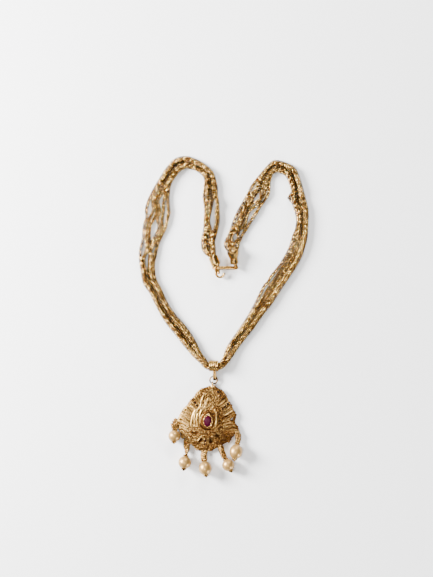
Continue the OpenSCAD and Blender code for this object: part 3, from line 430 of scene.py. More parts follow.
# Raised ribs of the casting, in mm from HEART: width, height, then the places they pass
RIBS = (
    (1.6, 1.0, ((-11.8, 10.6), (-9.7, 8.6), (-11.6, 3.7), (-12.6, -0.8), (-13.0, -4.1))),
    (1.7, 1.0, ((-4.6, 8.0), (-5.9, 4.2), (-5.6, 0.8), (-5.2, -3.3))),
    (1.5, 1.0, ((-7.7, 5.3), (-8.3, 1.5), (-8.1, -1.5), (-7.3, -4.7))),
    (1.4, 0.9, ((-9.9, 5.9), (-10.3, 2.0), (-10.3, -2.0), (-9.7, -5.0))),
    (1.4, 1.0, ((-8.5, 19.4), (-5.2, 14.3), (-5.4, 11.4))),
    (1.5, 1.0, ((-3.2, 19.4), (-5.2, 14.3))),
    (1.2, 1.0, ((-10.4, 18.9), (-5.6, 11.4))),
    (1.2, 1.0, ((-14.0, 14.4), (-10.9, 10.6), (-9.3, 9.0))),
    (1.6, 1.0, ((-5.2, 11.4), (-7.3, 9.4), (-9.6, 7.0))),
    (1.4, 0.9, ((-15.8, 12.2), (-11.3, 7.2))),
    (1.7, 0.9, ((-17.7, 10.5), (-12.6, 4.9))),
    (1.3, 0.9, ((-19.3, 8.2), (-13.6, 2.5))),
    (1.7, 0.9, ((-20.9, 5.6), (-14.4, 0.4))),
    (1.3, 0.9, ((-22.3, 2.6), (-15.4, -1.6))),
    (1.7, 0.9, ((-23.7, -0.4), (-15.8, -3.9))),
    (1.3, 0.9, ((-24.4, -3.0), (-16.5, -5.9))),
    (1.2, 0.8, ((-22.4, -5.6), (-17.0, -7.7))),
    (2.7, 0.8, ((8.6, 12.9), (15.4, 18.0))),
    (0.9, 0.9, ((9.9, 10.2), (17.3, 15.6))),
    (0.9, 0.9, ((11.9, 6.5), (19.9, 11.9))),
    (2.4, 0.8, ((13.6, 4.6), (20.6, 9.0))),
    (0.9, 0.7, ((14.4, 1.9), (21.6, 5.6))),
    (1.9, 0.7, ((13.6, -0.9), (17.9, 0.9))),
    (1.0, 0.8, ((13.9, -3.1), (20.6, -2.2))),
    (1.7, 0.7, ((13.6, -5.4), (22.2, -4.7))),
    (1.0, 0.8, ((12.9, -7.9), (22.6, -8.0))),
    (2.1, 0.8, ((6.4, 8.2), (7.6, 3.3), (7.6, -0.8), (6.2, -4.6))),
    (0.8, 0.9, ((2.1, 17.1), (4.6, 14.7), (7.4, 11.4), (9.1, 8.6), (11.5, 4.6))),
    (0.8, 0.8, ((0.9, 17.6), (-1.6, 13.9), (-5.2, 10.6))),
    (1.0, 0.8, ((-3.0, 21.6), (0.2, 21.4), (3.3, 24.4), (5.6, 20.6), (8.0, 17.2))),
    (0.8, 0.7, ((0.1, 19.2), (2.9, 21.8), (5.6, 17.6))),
    (0.8, 0.8, ((1.7, 17.1), (-2.0, 11.2), (0.1, 7.6))),
    (0.8, 0.8, ((1.7, 17.1), (5.0, 11.6), (1.3, 7.6))),
    (0.7, 0.7, ((-1.6, 14.6), (4.6, 10.2))),
    (0.7, 0.7, ((4.6, 14.7), (-1.3, 9.8))),
    (0.8, 0.8, ((-3.2, -12.2), (-3.4, -20.0))),
    (0.8, 0.8, ((0.8, -12.2), (0.3, -20.0))),
    (0.8, 0.7, ((-4.6, -12.6), (-8.0, -17.4), (-3.6, -18.4))),
    (0.8, 0.7, ((1.4, -13.0), (5.2, -18.4), (0.6, -19.0))))
# Recesses, darkened by painted shade, in mm from HEART: place, half length, half width, turn in degrees,
# depth
RECESSES = ((-10.0, -10.2, 2.7, 1.3, -8, 1.0), (7.8, -12.2, 3.0, 1.3, 2, 1.0),
            (-5.3, -15.9, 2.6, 1.3, 62, 0.9), (2.5, -16.9, 2.6, 1.4, 118, 0.9),
            (9.6, 2.5, 4.6, 0.55, 80, 0.8), (9.3, -3.2, 2.6, 0.5, 70, 0.8),
            (16.4, 3.6, 3.4, 0.6, 28, 0.8), (12.3, 16.6, 4.2, 0.5, 36, 0.7))


def closed_path(points, steps):
    """smooth_path for a closed row of points, without repeating the first."""
    n = len(points)
    around = np.vstack([points[-2:], points, points[:3]])
    return smooth_path(around, steps)[2 * steps:(n + 2) * steps]


def even_path(points, count):
    """The closed curve through the points at equal distances along it."""
    loop = np.vstack([points, points[:1]])
    walked = np.concatenate([[0], np.cumsum(np.linalg.norm(np.diff(loop, axis=0), axis=1))])
    at = np.arange(count) / count * walked[-1]
    return np.column_stack([np.interp(at, walked, loop[:, k]) for k in range(loop.shape[1])])


def dome_height(x, y):
    """Height of the smooth dome at a place measured from HEART: 6 mm less the sagitta."""
    return 0.006 - DOME + np.sqrt(DOME ** 2 - x ** 2 - y ** 2)


def ridge(x, y, path, width, height):
    """A raised wire along a path: height * sqrt(1 - (2 d / width)^2), d the distance to it."""
    d2 = np.full(x.shape, 1.0)
    for a, b in zip(path[:-1], path[1:]):
        ab = b - a
        t = np.clip(((x - a[0]) * ab[0] + (y - a[1]) * ab[1]) / np.sum(ab ** 2), 0, 1)
        d2 = np.minimum(d2, (x - a[0] - t * ab[0]) ** 2 + (y - a[1] - t * ab[1]) ** 2)
    return height * np.sqrt(np.clip(1 - d2 / (width / 2) ** 2, 0, 1))


def egg(radius, tip, count=96):
    """Points on an egg: half an arc below, and above it x = radius * (1 - (y / tip)^3)."""
    rise = np.linspace(0, 1, 25)[:-1, None]
    right = np.hstack([radius * (1 - rise ** 3), tip * rise])
    left = right[::-1] * (-1, 1)
    a = np.linspace(np.pi, 2 * np.pi, 49)[1:-1]
    arc = radius * np.column_stack([np.cos(a), np.sin(a)])
    return even_path(np.vstack([right, [(0, tip)], left, arc]), count)


def shade_right_and_foot(x, y):
    """Share of painted shade at a place from HEART: more of it to the right, the side away from the main
    light, and in the foot.
    """
    return np.clip(0.34 + 12 * x, 0.20, 0.52) + np.clip((-0.008 - y) * 30, 0, 0.28)


def in_slot(x, y):
    """Whether a place lies in the pierced slot: within 0.75 mm of a line 2.2 mm long that is
    turned by 30 degrees."""
    along = (x - SLOT[0]) * 0.87 + (y - SLOT[1]) * 0.5
    across = (y - SLOT[1]) * 0.87 - (x - SLOT[0]) * 0.5
    return np.hypot(np.maximum(np.abs(along) - 0.0011, 0), across) < 0.00075


LEAN = np.radians(6.3)                # the stone leans to the right by this
UPRIGHT = np.array(((np.cos(LEAN), -np.sin(LEAN)), (np.sin(LEAN), np.cos(LEAN))))
ROUND, OUT, UNDER = 600, 130, 20      # points around, rings on top, rings below
INNERMOST = 0.004                     # size of the innermost ring, as a share of the outline
outline = even_path(closed_path(EDGE, 12), ROUND) - HEART
share = np.linspace(INNERMOST, 1, OUT)
centre = STONE + (0, 0.001)
grid = centre + share[:, None, None] * (outline - centre)[None]
x, y = grid[..., 0], grid[..., 1]
to_edge = np.linalg.norm(outline - centre, axis=1)[None] * (1 - share[:, None])
relief = np.zeros(x.shape)
for width, high, places in RIBS:
    path = smooth_path(0.001 * np.array(places), 6)
    relief = np.maximum(relief, ridge(x, y, path, 0.001 * width, 0.001 * high))
for px, py, half_long, half_wide, turn, deep in 0.001 * np.array(RECESSES):
    a = np.radians(1000 * turn)
    u = (x - px) * np.cos(a) + (y - py) * np.sin(a)
    v = -(x - px) * np.sin(a) + (y - py) * np.cos(a)
    inside = np.clip((1 - (u / half_long) ** 2 - (v / half_wide) ** 2) * 2.5, 0, 1)
    relief = relief * (1 - inside) - deep * inside
# Groove between the two rims of the setting
groove_line = egg(0.0047, 0.0093) @ UPRIGHT + STONE
groove = np.clip(2.5 * ridge(x, y, np.vstack([groove_line, groove_line[:1]]), 0.0026, 1), 0, 1)
relief = relief * (1 - groove) - 0.0007 * groove
# Granulated ground between the ribs: small round bumps close together
rib_relief = relief.copy()
rng = np.random.default_rng(7)
bumps = rng.uniform((-0.028, -0.027), (0.028, 0.029), (6500, 2))
for (px, py), r in zip(bumps, rng.uniform(0.00032, 0.00060, len(bumps))):
    i, j = np.nonzero((np.abs(x - px) < r) & (np.abs(y - py) < r))
    lift = 0.8 * np.sqrt(np.clip(r ** 2 - (x[i, j] - px) ** 2 - (y[i, j] - py) ** 2, 0, None))
    ground = (relief[i, j] > -0.0002) & (relief[i, j] < 0.00045)
    relief[i, j] = np.where(ground, np.maximum(relief[i, j], lift), relief[i, j])
# Small pits in the ground, darkened by painted shade, as between the twigs of open cast work
pits = np.zeros(x.shape)
for px, py, r in zip(rng.uniform(-0.024, 0.023, 150), rng.uniform(-0.024, 0.026, 150),
                     rng.uniform(0.0005, 0.0009, 150)):
    pits = np.maximum(pits, np.clip(1.8 - 1.8 * ((x - px) ** 2 + (y - py) ** 2) / r ** 2, 0, 1))
pits *= (rib_relief < 0.0003) & (rib_relief > -0.0002)
relief -= 0.0004 * pits
top = dome_height(x, y)
# The last 1.1 mm falls in a quarter circle to 0.62 of the height
fall = np.clip(to_edge / 0.0011, 0, 1)
height = (top - GROUND) * (0.62 + 0.38 * np.sqrt(1 - (1 - fall) ** 2)) + relief * fall ** 0.5
# Pierced slot near the right edge: its sides go straight down to the floor
slot = in_slot(x, y)
height[slot] = 0
below = 1 - np.arange(UNDER + 1) / UNDER * 0.99
flat = centre + 0.985 * below[:, None, None] * (outline - centre)[None]
top_ring = np.dstack([grid[..., 0] + HEART[0], grid[..., 1] + HEART[1], height])
side = np.array([np.column_stack([outline + HEART, np.full(ROUND, z)]) for z in (0.0012, 0.0004)])
bottom = np.dstack([flat[..., 0] + HEART[0], flat[..., 1] + HEART[1], np.zeros(flat.shape[:2])])
points = np.vstack([top_ring, side, bottom])
open_there = np.vstack([slot, np.zeros((2, ROUND), bool), in_slot(flat[..., 0], flat[..., 1])])
i, j = np.meshgrid(np.arange(len(points) - 1), np.arange(ROUND), indexing="ij")
j2 = (j + 1) % ROUND
solid = ~(open_there[i, j] & open_there[i, j2] & open_there[i + 1, j] & open_there[i + 1, j2])
quads = np.stack([i * ROUND + j, i * ROUND + j2, (i + 1) * ROUND + j2, (i + 1) * ROUND + j], -1)[solid]
plate = make_mesh("pendant_plate", points.reshape(-1, 3) + MIDDLE, quads)
# Painted shade on the plate: dark in the low ground, the recesses, the groove and the pits, more of it to
# the right and in the foot, and full on the sides and underneath
plate_shade = np.ones(points.shape[:2])
plate_shade[:OUT] = np.clip(1 - (relief - 0.00015) / 0.00055, 0, 1) * np.where(rib_relief < -0.0002, 1, 0.85)
plate_shade[:OUT] = np.maximum(np.maximum(plate_shade[:OUT], shade_right_and_foot(x, y)), pits)
set_tone(plate, "depth", plate_shade.ravel())
# Painted highlight on the plate: lighter to the left, the side toward the main light, and on the raised
# ribs
painted_highlight = np.full(points.shape[:2], 0.3)
painted_highlight[:OUT] = np.clip(0.10 - 10 * x, 0.0, 0.32) + 0.38 * (rib_relief > 0.0002)
set_tone(plate, "tone", painted_highlight.ravel())
cast_gold = gold_material("cast_gold", depth="depth", tone="tone", bump=0.35, rough=0.08)
plate.data.materials.append(cast_gold)
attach(plate, "root")
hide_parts("pendant")

# Setting of the red stone
# Two raised egg-shaped rims with a groove between them, soldered on the dome; the plate's
# painted shade darkens the groove. The inner one is the collar, with nine small round claws
# on the edge of the oval stone and three grains in its tip.


def lathe_along(path, middle, profile):
    """A rim: the profile's points (outward, up) carried round a closed flat path."""
    ahead = np.roll(path, -1, 0) - np.roll(path, 1, 0)
    ahead /= np.linalg.norm(ahead, axis=1)[:, None]
    outward = np.column_stack([ahead[:, 1], -ahead[:, 0]])
    if np.sum(outward * (path - path.mean(0))) < 0:
        outward = -outward
    flat = path[:, None] + outward[:, None] * profile[None, :, :1]
    rise = np.broadcast_to(profile[None, :, 1:], flat.shape[:2] + (1,))
    points = np.concatenate([flat + middle, rise], -1)
    n, m = points.shape[:2]
    i, j = np.meshgrid(np.arange(n), np.arange(m - 1), indexing="ij")
    quads = np.stack([i * m + j, ((i + 1) % n) * m + j, ((i + 1) % n) * m + j + 1, i * m + j + 1], -1)
    return points.reshape(-1, 3), quads.reshape(-1, 4)


def joined(parts):
    """Several (points, faces) as one."""
    start, points, faces = 0, [], []
    for p, f in parts:
        points.append(p)
        faces.append(f + start)
        start += len(p)
    return np.vstack(points), np.vstack(faces)


def bead(centre, radius, around=8, across=5):
    """A round bead: rings of points at radius cos(latitude) from its axis."""
    lat = np.linspace(-np.pi / 2, np.pi / 2, across + 1)
    a = np.arange(around) * 2 * np.pi / around
    points = np.stack([np.cos(lat)[:, None] * np.cos(a), np.cos(lat)[:, None] * np.sin(a),
                       np.broadcast_to(np.sin(lat)[:, None], (across + 1, around))], -1)
    i, j = np.meshgrid(np.arange(across), np.arange(around), indexing="ij")
    quads = np.stack([i * around + j, i * around + (j + 1) % around,
                      (i + 1) * around + (j + 1) % around, (i + 1) * around + j], -1)
    return points.reshape(-1, 3) * radius + np.asarray(centre), quads.reshape(-1, 4)


seat = HEART + STONE
arc = np.linspace(0, np.pi, 7)
outer_rim = egg(0.0057, 0.0105, 128) @ UPRIGHT
inner_rim = egg(0.0035, 0.0079, 128) @ UPRIGHT
low = 0.0050                          # foot of the rims, in the dome
parts = []
for rim, half_wide, rise in ((outer_rim, 0.00026, 0.0010), (inner_rim, 0.00042, 0.0024)):
    profile = np.column_stack([half_wide * np.cos(arc), low + rise * np.sin(arc)])
    parts.append(lathe_along(rim, seat, profile))
around = np.linspace(0, 2 * np.pi, 64, endpoint=False)
edge_of_stone = np.column_stack([0.00305 * np.cos(around), 0.0016 + 0.00465 * np.sin(around)]) @ UPRIGHT
for k in (3, 10, 22, 29, 36, 43, 48, 53, 60):
    parts.append(bead((*(edge_of_stone[k] + seat), 0.0071), 0.00048))
for px, py, r in ((-0.0007, 0.0066, 0.00085), (0.0008, 0.0064, 0.00075), (0.0, 0.0076, 0.00060)):
    parts.append(bead((*(np.array((px, py)) @ UPRIGHT + seat), 0.0069), r, 10, 6))
points, quads = joined(parts)
setting = make_mesh("setting", points + MIDDLE, quads)
# The lower end of the rims is brown
upward = (points[:, :2] - seat) @ UPRIGHT.T[:, 1]
set_tone(setting, "depth", np.clip((-0.0004 - upward) * 220, 0, 0.5))
setting.data.materials.append(gold_material("setting_gold", depth="depth", bump=0.1))
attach(setting, "root")

# Dark stones
# Small square dark stones of glass, set in the two channels, near the top and in the stem
# of the foot, each with four small round gold claws at its corners.
spots = []
for px, py, turn in ((12.0, 9.1, 41), (14.2, 11.0, 41), (16.4, 12.9, 41), (-11.5, 16.3, -37),
                     (-9.9, 14.1, -37), (-8.3, 11.9, -37), (-1.6, -16.3, 0), (-1.9, -19.0, 5),
                     (8.6, 22.6, 30), (10.4, 19.6, 35)):
    spots.append((0.001 * px, 0.001 * py, np.radians(turn)))
parts, claws_at = [], []
for sx, sy, a in spots:
    z = dome_height(sx, sy)
    square = np.array(((-1, -1), (1, -1), (1, 1), (-1, 1))) * 0.00080
    turned = square @ np.array(((np.cos(a), -np.sin(a)), (np.sin(a), np.cos(a))))
    ringed = [np.column_stack([turned * s + (sx, sy) + HEART, np.full(4, z + h)])
              for s, h in ((1.0, -0.0006), (1.0, 0.0002), (0.6, 0.00055), (0.01, 0.00056))]
    points = np.vstack(ringed)
    i, j = np.meshgrid(np.arange(3), np.arange(4), indexing="ij")
    quads = np.stack([i * 4 + j, i * 4 + (j + 1) % 4, (i + 1) * 4 + (j + 1) % 4, (i + 1) * 4 + j], -1)
    parts.append((points, quads.reshape(-1, 4)))
    for corner in turned * 1.1:
        claws_at.append((*(corner + (sx, sy) + HEART), z + 0.0003))
points, quads = joined(parts)
dark_stones = make_mesh("dark_stones", points + MIDDLE, quads, smooth=False)
garnet = bpy.data.materials.new("dark_stone")
garnet.use_nodes = True
shader = garnet.node_tree.nodes["Principled BSDF"]
shader.inputs["Base Color"].default_value = (0.010, 0.004, 0.002, 1)
shader.inputs["Roughness"].default_value = 0.6
shader.inputs["Specular IOR Level"].default_value = 0.03
dark_stones.data.materials.append(garnet)
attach(dark_stones, "root")
points, quads = joined([bead(place, 0.00032, 7, 4) for place in claws_at])
small_claws = make_mesh("small_claws", points + MIDDLE, quads)
small_claws.data.materials.append(gold_material("claw_gold"))
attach(small_claws, "root")

# Pendant loops
# One loop at the top for the bail ring and five at the foot for the jump rings, each
# a ring of round wire on edge, soldered to the plate by a short shank.
DROPS = (  # pearl's middle, radius, half length, loop of its pin, loop on the pendant, end of the shank
    ((-.0389, -.0966, .0048), .0048, .0048, (-.0386, -.0903), (-.0384, -.0870), (-.0356, -.0844)),
    ((-.0305, -.1176, .0052), .0052, .0052, (-.0288, -.1076), (-.0294, -.1043), (-.0288, -.0990)),
    ((-.0142, -.1222, .0052), .00515, .0058, (-.0153, -.1145), (-.0154, -.1112), (-.0148, -.1070)),
    ((.0042, -.1198, .0049), .0049, .0049, (-.0004, -.1109), (-.0014, -.1077), (-.0026, -.1036)),
    ((.0104, -.1090, .0052), .0052, .0060, (.0121, -.0995), (.0123, -.0962), (.0100, -.0914)))
LOOP_Z = 0.0021


def upright_ring(x, y, z, direction, radius, wire):
    """A ring of wire on edge whose plane holds the direction (x, y) and the vertical."""
    points, quads = ring_of_wire(radius, wire, 28, 10)
    d = np.append(np.asarray(direction, float) / np.linalg.norm(direction), 0)
    side = np.array((-d[1], d[0], 0))
    turned = points[:, :1] * d + points[:, 1:2] * np.array((0, 0, 1.0)) + points[:, 2:] * side
    return turned + np.array((x, y, z)), quads[:, ::-1]


def rod(start, end, thick):
    """A round rod: circles of 12 points across the line from start to end, and two smaller
    ones beyond each end that close it but for a pinhole."""
    start, end = np.asarray(start, float), np.asarray(end, float)
    d = (end - start) / np.linalg.norm(end - start)
    side = np.cross(d, (0, 0, 1.0) if abs(d[2]) < 0.9 else (1.0, 0, 0))
    side /= np.linalg.norm(side)
    up = np.cross(side, d)
    around = 12
    a = np.arange(around) * 2 * np.pi / around
    circle = np.cos(a)[:, None] * side + np.sin(a)[:, None] * up
    rings = [(start - d * thick * 0.3, thick * 0.02), (start - d * thick * 0.2, thick * 0.35),
             (start, thick / 2), (end, thick / 2), (end + d * thick * 0.2, thick * 0.35),
             (end + d * thick * 0.3, thick * 0.02)]
    points = np.vstack([p + r * circle for p, r in rings])
    i, j = np.meshgrid(np.arange(len(rings) - 1), np.arange(around), indexing="ij")
    quads = np.stack([i * around + j, i * around + (j + 1) % around,
                      (i + 1) * around + (j + 1) % around, (i + 1) * around + j], -1)
    return points, quads.reshape(-1, 4)[:, ::-1]


parts = [upright_ring(-0.0083, -0.0549, 0.0023, (0, 1), 0.0013, 0.0011),
         rod((-0.0084, -0.0560, 0.0021), (-0.0089, -0.0590, 0.0022), 0.0022)]
for pearl_at, radius, half, pin_loop, loop, shank in DROPS:
    pull = np.subtract(loop, pin_loop)
    parts.append(upright_ring(loop[0], loop[1], LOOP_Z, pull, 0.00115, 0.0009))
    out = np.subtract(shank, loop)
    start = np.array(loop) + out * 0.00115 / np.linalg.norm(out)
    parts.append(rod((*start, LOOP_Z), (*shank, LOOP_Z), 0.0014))
points, quads = joined(parts)
loops = make_mesh("pendant_loops", points + MIDDLE, quads)
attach(loops, "root")
loops.data.materials.append(gold_material("loop_gold", bump=0.1))

# Pendant wires and grains
# Fine wire bent into curls and small grains of gold, laid between the ribs and over the
# foot, and a row of larger beads along the edge. All are soldered to the plate.


def at_plate(path, lift):
    """Points of a flat path (from HEART) set on the dome, raised by lift."""
    rise = dome_height(path[:, 0], path[:, 1]) - GROUND + lift
    return np.column_stack([path + HEART, rise])


def wire_along(path, wire):
    """A wire along an open path: six points at wire/2 around each point, drawn together
    to a point at both ends."""
    across = 6
    ahead = np.gradient(path, axis=0)
    ahead /= np.linalg.norm(ahead, axis=1)[:, None]
    side = np.cross(ahead, (0, 0, 1.0))
    side /= np.linalg.norm(side, axis=1)[:, None]
    up = np.cross(side, ahead)
    b = np.arange(across) * 2 * np.pi / across
    thick = np.full(len(path), wire / 2)
    thick[[0, -1]] *= 0.1
    ring = path[:, None] + thick[:, None, None] * (
        np.cos(b)[None, :, None] * side[:, None] + np.sin(b)[None, :, None] * up[:, None])
    i, j = np.meshgrid(np.arange(len(path) - 1), np.arange(across), indexing="ij")
    j2 = (j + 1) % across
    quads = np.stack([i * across + j, i * across + j2, (i + 1) * across + j2,
                      (i + 1) * across + j], -1)
    return ring.reshape(-1, 3), quads.reshape(-1, 4)[:, ::-1]


def plate_reach(x, y):
    """Share of the way from the plate's centre to its edge at a place measured from HEART,
    and the length of that way."""
    away = np.column_stack([x, y]) - centre
    angle = np.arctan2(away[:, 0], away[:, 1])
    rim = outline - centre
    rim_angle = np.arctan2(rim[:, 0], rim[:, 1])
    turn = np.argsort(rim_angle)
    rim_far = np.interp(angle, rim_angle[turn], np.linalg.norm(rim, axis=1)[turn], period=2 * np.pi)
    return np.linalg.norm(away, axis=1) / rim_far, rim_far


def relief_at(x, y):
    """Relief of the plate's ribs and recesses at places measured from HEART, from its grid of points."""
    share_there = plate_reach(x, y)[0]
    ring = np.round((share_there - INNERMOST) / (1 - INNERMOST) * (OUT - 1))
    ring = np.clip(ring, 0, OUT - 1).astype(int)
    rim = outline - centre
    away = np.column_stack([x, y]) - centre
    spoke = np.array([np.argmax(rim @ a / np.linalg.norm(rim, axis=1)) for a in away])
    return rib_relief[ring, spoke]


rng = np.random.default_rng(11)
# Beads along the edge, some a little further out and larger than others
beads = []
edge_line = even_path(closed_path(EDGE, 12), 74)
uneven = 0.976 + 0.012 * np.sin(np.arange(74) * 1.9)[:, None]
inside_line = HEART + centre + (edge_line - HEART - centre) * uneven
for k, place in enumerate(inside_line):
    place_z = 0.00215 + 0.0003 * np.sin(k * 2.4)
    beads.append(bead((*place, place_z), 0.00100 + 0.00022 * np.sin(k * 1.3), 10, 6))
# Grains: tried at random places, kept where they have room and the plate is low
GRAIN_ROOM = 0.00125
kept = np.zeros((0, 2))
for trial in rng.uniform((-0.027, -0.026), (0.026, 0.028), (9000, 2)):
    if len(kept) and np.min(np.sum((kept - trial) ** 2, 1)) < GRAIN_ROOM ** 2:
        continue
    kept = np.vstack([kept, trial])
share_there, far = plate_reach(kept[:, 0], kept[:, 1])
low = relief_at(kept[:, 0], kept[:, 1])
stone_room = np.hypot(kept[:, 0] - STONE[0], (kept[:, 1] - STONE[1] - 0.0015) / 1.35) > 0.0064
kept = kept[(share_there * far < far - 0.0016) & (low < 0.0001) & (low > -0.0002) & stone_room]
sizes = rng.uniform(0.00030, 0.00058, len(kept))
for place, r in zip(kept, sizes):
    z = dome_height(*place) - GROUND + 0.35 * r
    beads.append(bead((*(place + HEART), z), r, 7, 4))
points, quads = joined(beads)
grains = make_mesh("pendant_grains", points + MIDDLE, quads)
# Painted highlight on the grains: lighter to the left, toward the main light; painted shade: more to the
# right and in the foot, and on some grains at random
set_tone(grains, "tone", np.clip(0.22 - 14 * (points[:, 0] - HEART[0]), -0.1, 0.6))
painted_shade = np.repeat(np.where(rng.random(len(beads)) < 0.45, 0.55, 0.0), [len(p) for p, f in beads])
set_tone(grains, "depth", shade_right_and_foot(points[:, 0] - HEART[0], points[:, 1] - HEART[1]) + painted_shade)
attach(grains, "root")
# Curls: a turn and a quarter of wire each, in the foot and where the plate is low
CURL_ROOM = 0.0026
curls = []
spots = rng.uniform((-0.026, -0.025), (0.025, 0.026), (700, 2))
curl_at = np.zeros((0, 2))
for trial in spots:
    if len(curl_at) and np.min(np.sum((curl_at - trial) ** 2, 1)) < CURL_ROOM ** 2:
        continue
    curl_at = np.vstack([curl_at, trial])
share_there, far = plate_reach(curl_at[:, 0], curl_at[:, 1])
low = relief_at(curl_at[:, 0], curl_at[:, 1])
stone_room = np.hypot(curl_at[:, 0] - STONE[0], (curl_at[:, 1] - STONE[1] - 0.0015) / 1.35) > 0.0078
in_foot = (curl_at[:, 1] < -0.004) | (low < 0.0004)
curl_at = curl_at[(share_there * far < far - 0.0028) & (low > -0.0003) & stone_room & in_foot]
for place in curl_at:
    t = np.linspace(0, 1, 16)
    size = rng.uniform(0.0009, 0.0014)
    a = rng.uniform(0, 6.28) + rng.choice((-1, 1)) * t * 8.0
    flat = place + (size * (1 - 0.75 * t) * np.array((np.cos(a), np.sin(a)))).T
    curls.append(wire_along(at_plate(flat, 0.00055), 0.00052))
points, quads = joined(curls)
wires = make_mesh("pendant_curls", points + MIDDLE, quads)
# Painted highlight on the curls: lighter to the left, toward the main light; painted shade: more to the
# right and in the foot
set_tone(wires, "tone", np.clip(0.30 - 14 * (points[:, 0] - HEART[0]), -0.05, 0.65))
set_tone(wires, "depth", shade_right_and_foot(points[:, 0] - HEART[0], points[:, 1] - HEART[1]))
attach(wires, "root")
solder_gold = gold_material("solder_gold", depth="depth", tone="tone", bump=0.15, rough=0.06)
for piece in (grains, wires):
    piece.data.materials.append(solder_gold)

# Clasp, sleeve, rings and pins
# The clasp is a wire hook on one cap and a long wire eye on the other, the sleeve is wound of
# half-round wire, and the rings and pins are bent of round wire, all of gilded brass. They
# keep their CAD shape.
wire_gold = gold_material("wire_gold", bump=0.05, plain=(0.4, 0.1))
ring_gold = gold_material("ring_gold", bump=0.05, plain=(0.65, 0.0))
cap_gold = gold_material("cap_gold", bump=0.3, plain=(0.05, 0.25))
TURN_AT = -0.00821         # X of the middle of one turn of the sleeve
TURN_PITCH = 0.0015        # distance between its turns
STRIP_FROM = -0.0432       # Y where the bail strip begins to show, and where it is brown
STRIP_BROWN = -0.0444
# The sleeve has painted shade in the grooves between its turns, where the distance to the nearest
# turn, measured along X in turns, is near one half, and half as much painted shade on its bail strip
sleeve_gold = gold_material("sleeve_gold", bump=0.1, plain=(0.0, 0.3))
tree = sleeve_gold.node_tree
place = tree.nodes.new("ShaderNodeTexCoord")
axes = tree.nodes.new("ShaderNodeSeparateXYZ")
tree.links.new(place.outputs["Object"], axes.inputs[0])
turn_at = tree.nodes.new("ShaderNodeMapRange")
turn_at.clamp = False
turn_at.inputs["From Min"].default_value = TURN_AT
turn_at.inputs["From Max"].default_value = TURN_AT + TURN_PITCH
tree.links.new(axes.outputs["X"], turn_at.inputs["Value"])
away = tree.nodes.new("ShaderNodeMath")
away.operation = "PINGPONG"
away.inputs[1].default_value = 0.5
tree.links.new(turn_at.outputs["Result"], away.inputs[0])
groove_shade = tree.nodes.new("ShaderNodeMapRange")
groove_shade.inputs["From Min"].default_value = 0.22
groove_shade.inputs["From Max"].default_value = 0.40
tree.links.new(away.outputs[0], groove_shade.inputs["Value"])
strip_shade = tree.nodes.new("ShaderNodeMapRange")
strip_shade.inputs["From Min"].default_value = STRIP_FROM
strip_shade.inputs["From Max"].default_value = STRIP_BROWN
strip_shade.inputs["To Max"].default_value = 0.5
tree.links.new(axes.outputs["Y"], strip_shade.inputs["Value"])
darker = tree.nodes.new("ShaderNodeMath")
darker.operation = "MAXIMUM"
tree.links.new(groove_shade.outputs["Result"], darker.inputs[0])
tree.links.new(strip_shade.outputs["Result"], darker.inputs[1])
golds = [node for node in tree.nodes if node.type == "GROUP"]
tree.links.new(darker.outputs[0], golds[0].inputs["Depth"])
small_wires = [("%s_%d" % (kind, k), wire_gold) for kind in ("pin", "jump_ring") for k in range(1, 6)]
for name, gold in [("hook_end", cap_gold), ("eye_end", cap_gold), ("sleeve", sleeve_gold),
                   ("bail_ring", ring_gold)] + small_wires:
    nodes[name].data.materials.clear()
    nodes[name].data.materials.append(gold)

# Red stone
# One faceted oval stone of dark red glass, held by the claws of its setting. It keeps its
# CAD shape.
ruby = bpy.data.materials.new("ruby")
ruby.use_nodes = True
shader = ruby.node_tree.nodes["Principled BSDF"]
shader.inputs["Base Color"].default_value = (0.030, 0.001, 0.008, 1)
shader.inputs["Roughness"].default_value = 0.20
shader.inputs["Specular IOR Level"].default_value = 0.08
nodes["red_stone"].data.materials.clear()
nodes["red_stone"].data.materials.append(ruby)

# Pearls
# Five imitation pearls with a soft golden lustre, each threaded on a pin that ends in a
# small bead. They keep their CAD shape.
pearl = bpy.data.materials.new("pearl")
pearl.use_nodes = True
shader = pearl.node_tree.nodes["Principled BSDF"]
shader.inputs["Base Color"].default_value = (0.37, 0.212, 0.060, 1)
shader.inputs["Metallic"].default_value = 0.6
shader.inputs["Roughness"].default_value = 0.40
shader.inputs["Coat Weight"].default_value = 0.35
shader.inputs["Coat Roughness"].default_value = 0.2
for k in range(1, 6):
    nodes["pearl_%d" % k].data.materials.clear()
    nodes["pearl_%d" % k].data.materials.append(pearl)
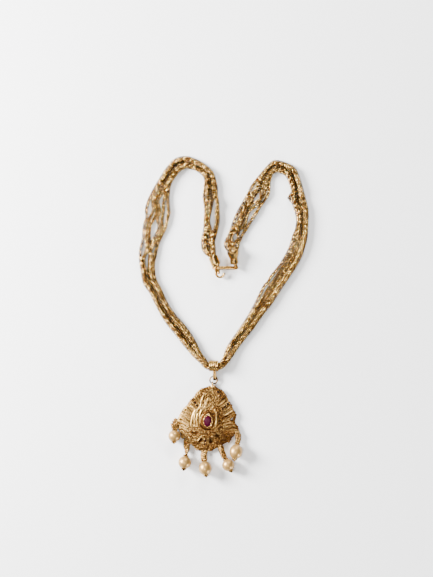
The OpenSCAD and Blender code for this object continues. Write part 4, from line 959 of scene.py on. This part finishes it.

# Necks of the drops
# Small gold grains packed round the loops and the jump rings on a core of solder, so that
# each neck looks like a granulated column. The core is painted dark as the shade between
# the grains, and some grains at random get painted shade. Two wreaths of grains hold each pearl.
# For each: half the width in mm at the pendant, in the middle and at the pearl, and the
# brown that is added to its grains
NECKS = ((2.8, 3.2, 2.2, 0.05), (1.9, 2.1, 0.7, 0.0), (2.3, 2.1, 2.3, 0.0),
         (1.9, 1.9, 1.8, 0.25), (1.3, 2.1, 1.4, 0.2))
parts = []
shade_shares = []
rng = np.random.default_rng(23)
for (pearl_at, radius, half, pin_loop, loop, shank), widths in zip(DROPS, NECKS):
    pearl_at = np.array(pearl_at)
    along = np.append(pin_loop, LOOP_Z) - pearl_at
    along /= np.linalg.norm(along)
    cap = pearl_at + along * (half + 0.0012)
    line = np.vstack([np.append(shank, LOOP_Z), np.append(loop, LOOP_Z), np.append(pin_loop, LOOP_Z), cap])
    walked = np.concatenate([[0], np.cumsum(np.linalg.norm(np.diff(line, axis=0), axis=1))])
    for k, place in enumerate(np.arange(0.0008, walked[-1], 0.00080)):
        middle = np.array([np.interp(place, walked, line[:, c]) for c in range(3)])
        ahead_of = np.array([np.interp(place + 0.001, walked, line[:, c]) for c in range(3)])
        onward = (ahead_of - middle)[:2]
        onward /= max(np.linalg.norm(onward), 1e-6)
        wide = 0.001 * np.interp(place / walked[-1], (0, 0.5, 1), widths[:3])
        # Core: three grains across, painted dark as the shade between the grains round them
        for share in (-0.45, 0, 0.45):
            spot = middle + (-onward[1] * share * wide, onward[0] * share * wide, 0)
            parts.append(bead(spot, 0.8 * min(wide, 0.0015), 8, 5))
            shade_shares.append(0.6)
        rows_of = int(round(2 * np.pi * wide / 0.00105))
        for a in 2 * np.pi * (np.arange(rows_of) + 0.5 * (k % 2)) / rows_of:
            spread = wide * np.cos(a)
            lift = min(wide, 0.0015) * np.sin(a)
            spot = middle + (-onward[1] * spread, onward[0] * spread, lift)
            parts.append(bead(spot + rng.normal(0, 0.0001, 3), rng.uniform(0.00040, 0.00062), 6, 4))
            shade_shares.append(rng.choice((0.65, 0.15)) + widths[3])
    side = np.cross(along, (0, 0, 1.0))
    side /= np.linalg.norm(side)
    up = np.cross(side, along)
    for where, ring, size in ((half + 0.00025, 0.0020, 0.00040), (-half - 0.00030, 0.0018, 0.00036)):
        for a in np.arange(14) * 2 * np.pi / 14:
            spot = pearl_at + along * where + ring * (side * np.cos(a) + up * np.sin(a))
            parts.append(bead(spot, size, 7, 4))
            shade_shares.append(rng.choice((0.62, 0.15)))
points, quads = joined(parts)
neck_grains = make_mesh("neck_grains", points + MIDDLE, quads)
set_tone(neck_grains, "depth", np.repeat(shade_shares, [len(p) for p, f in parts]))
set_tone(neck_grains, "tone", np.repeat(rng.uniform(0, 0.6, len(parts)), [len(p) for p, f in parts]))
neck_grains.data.materials.append(gold_material("neck_gold", depth="depth", tone="tone"))
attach(neck_grains, "root")
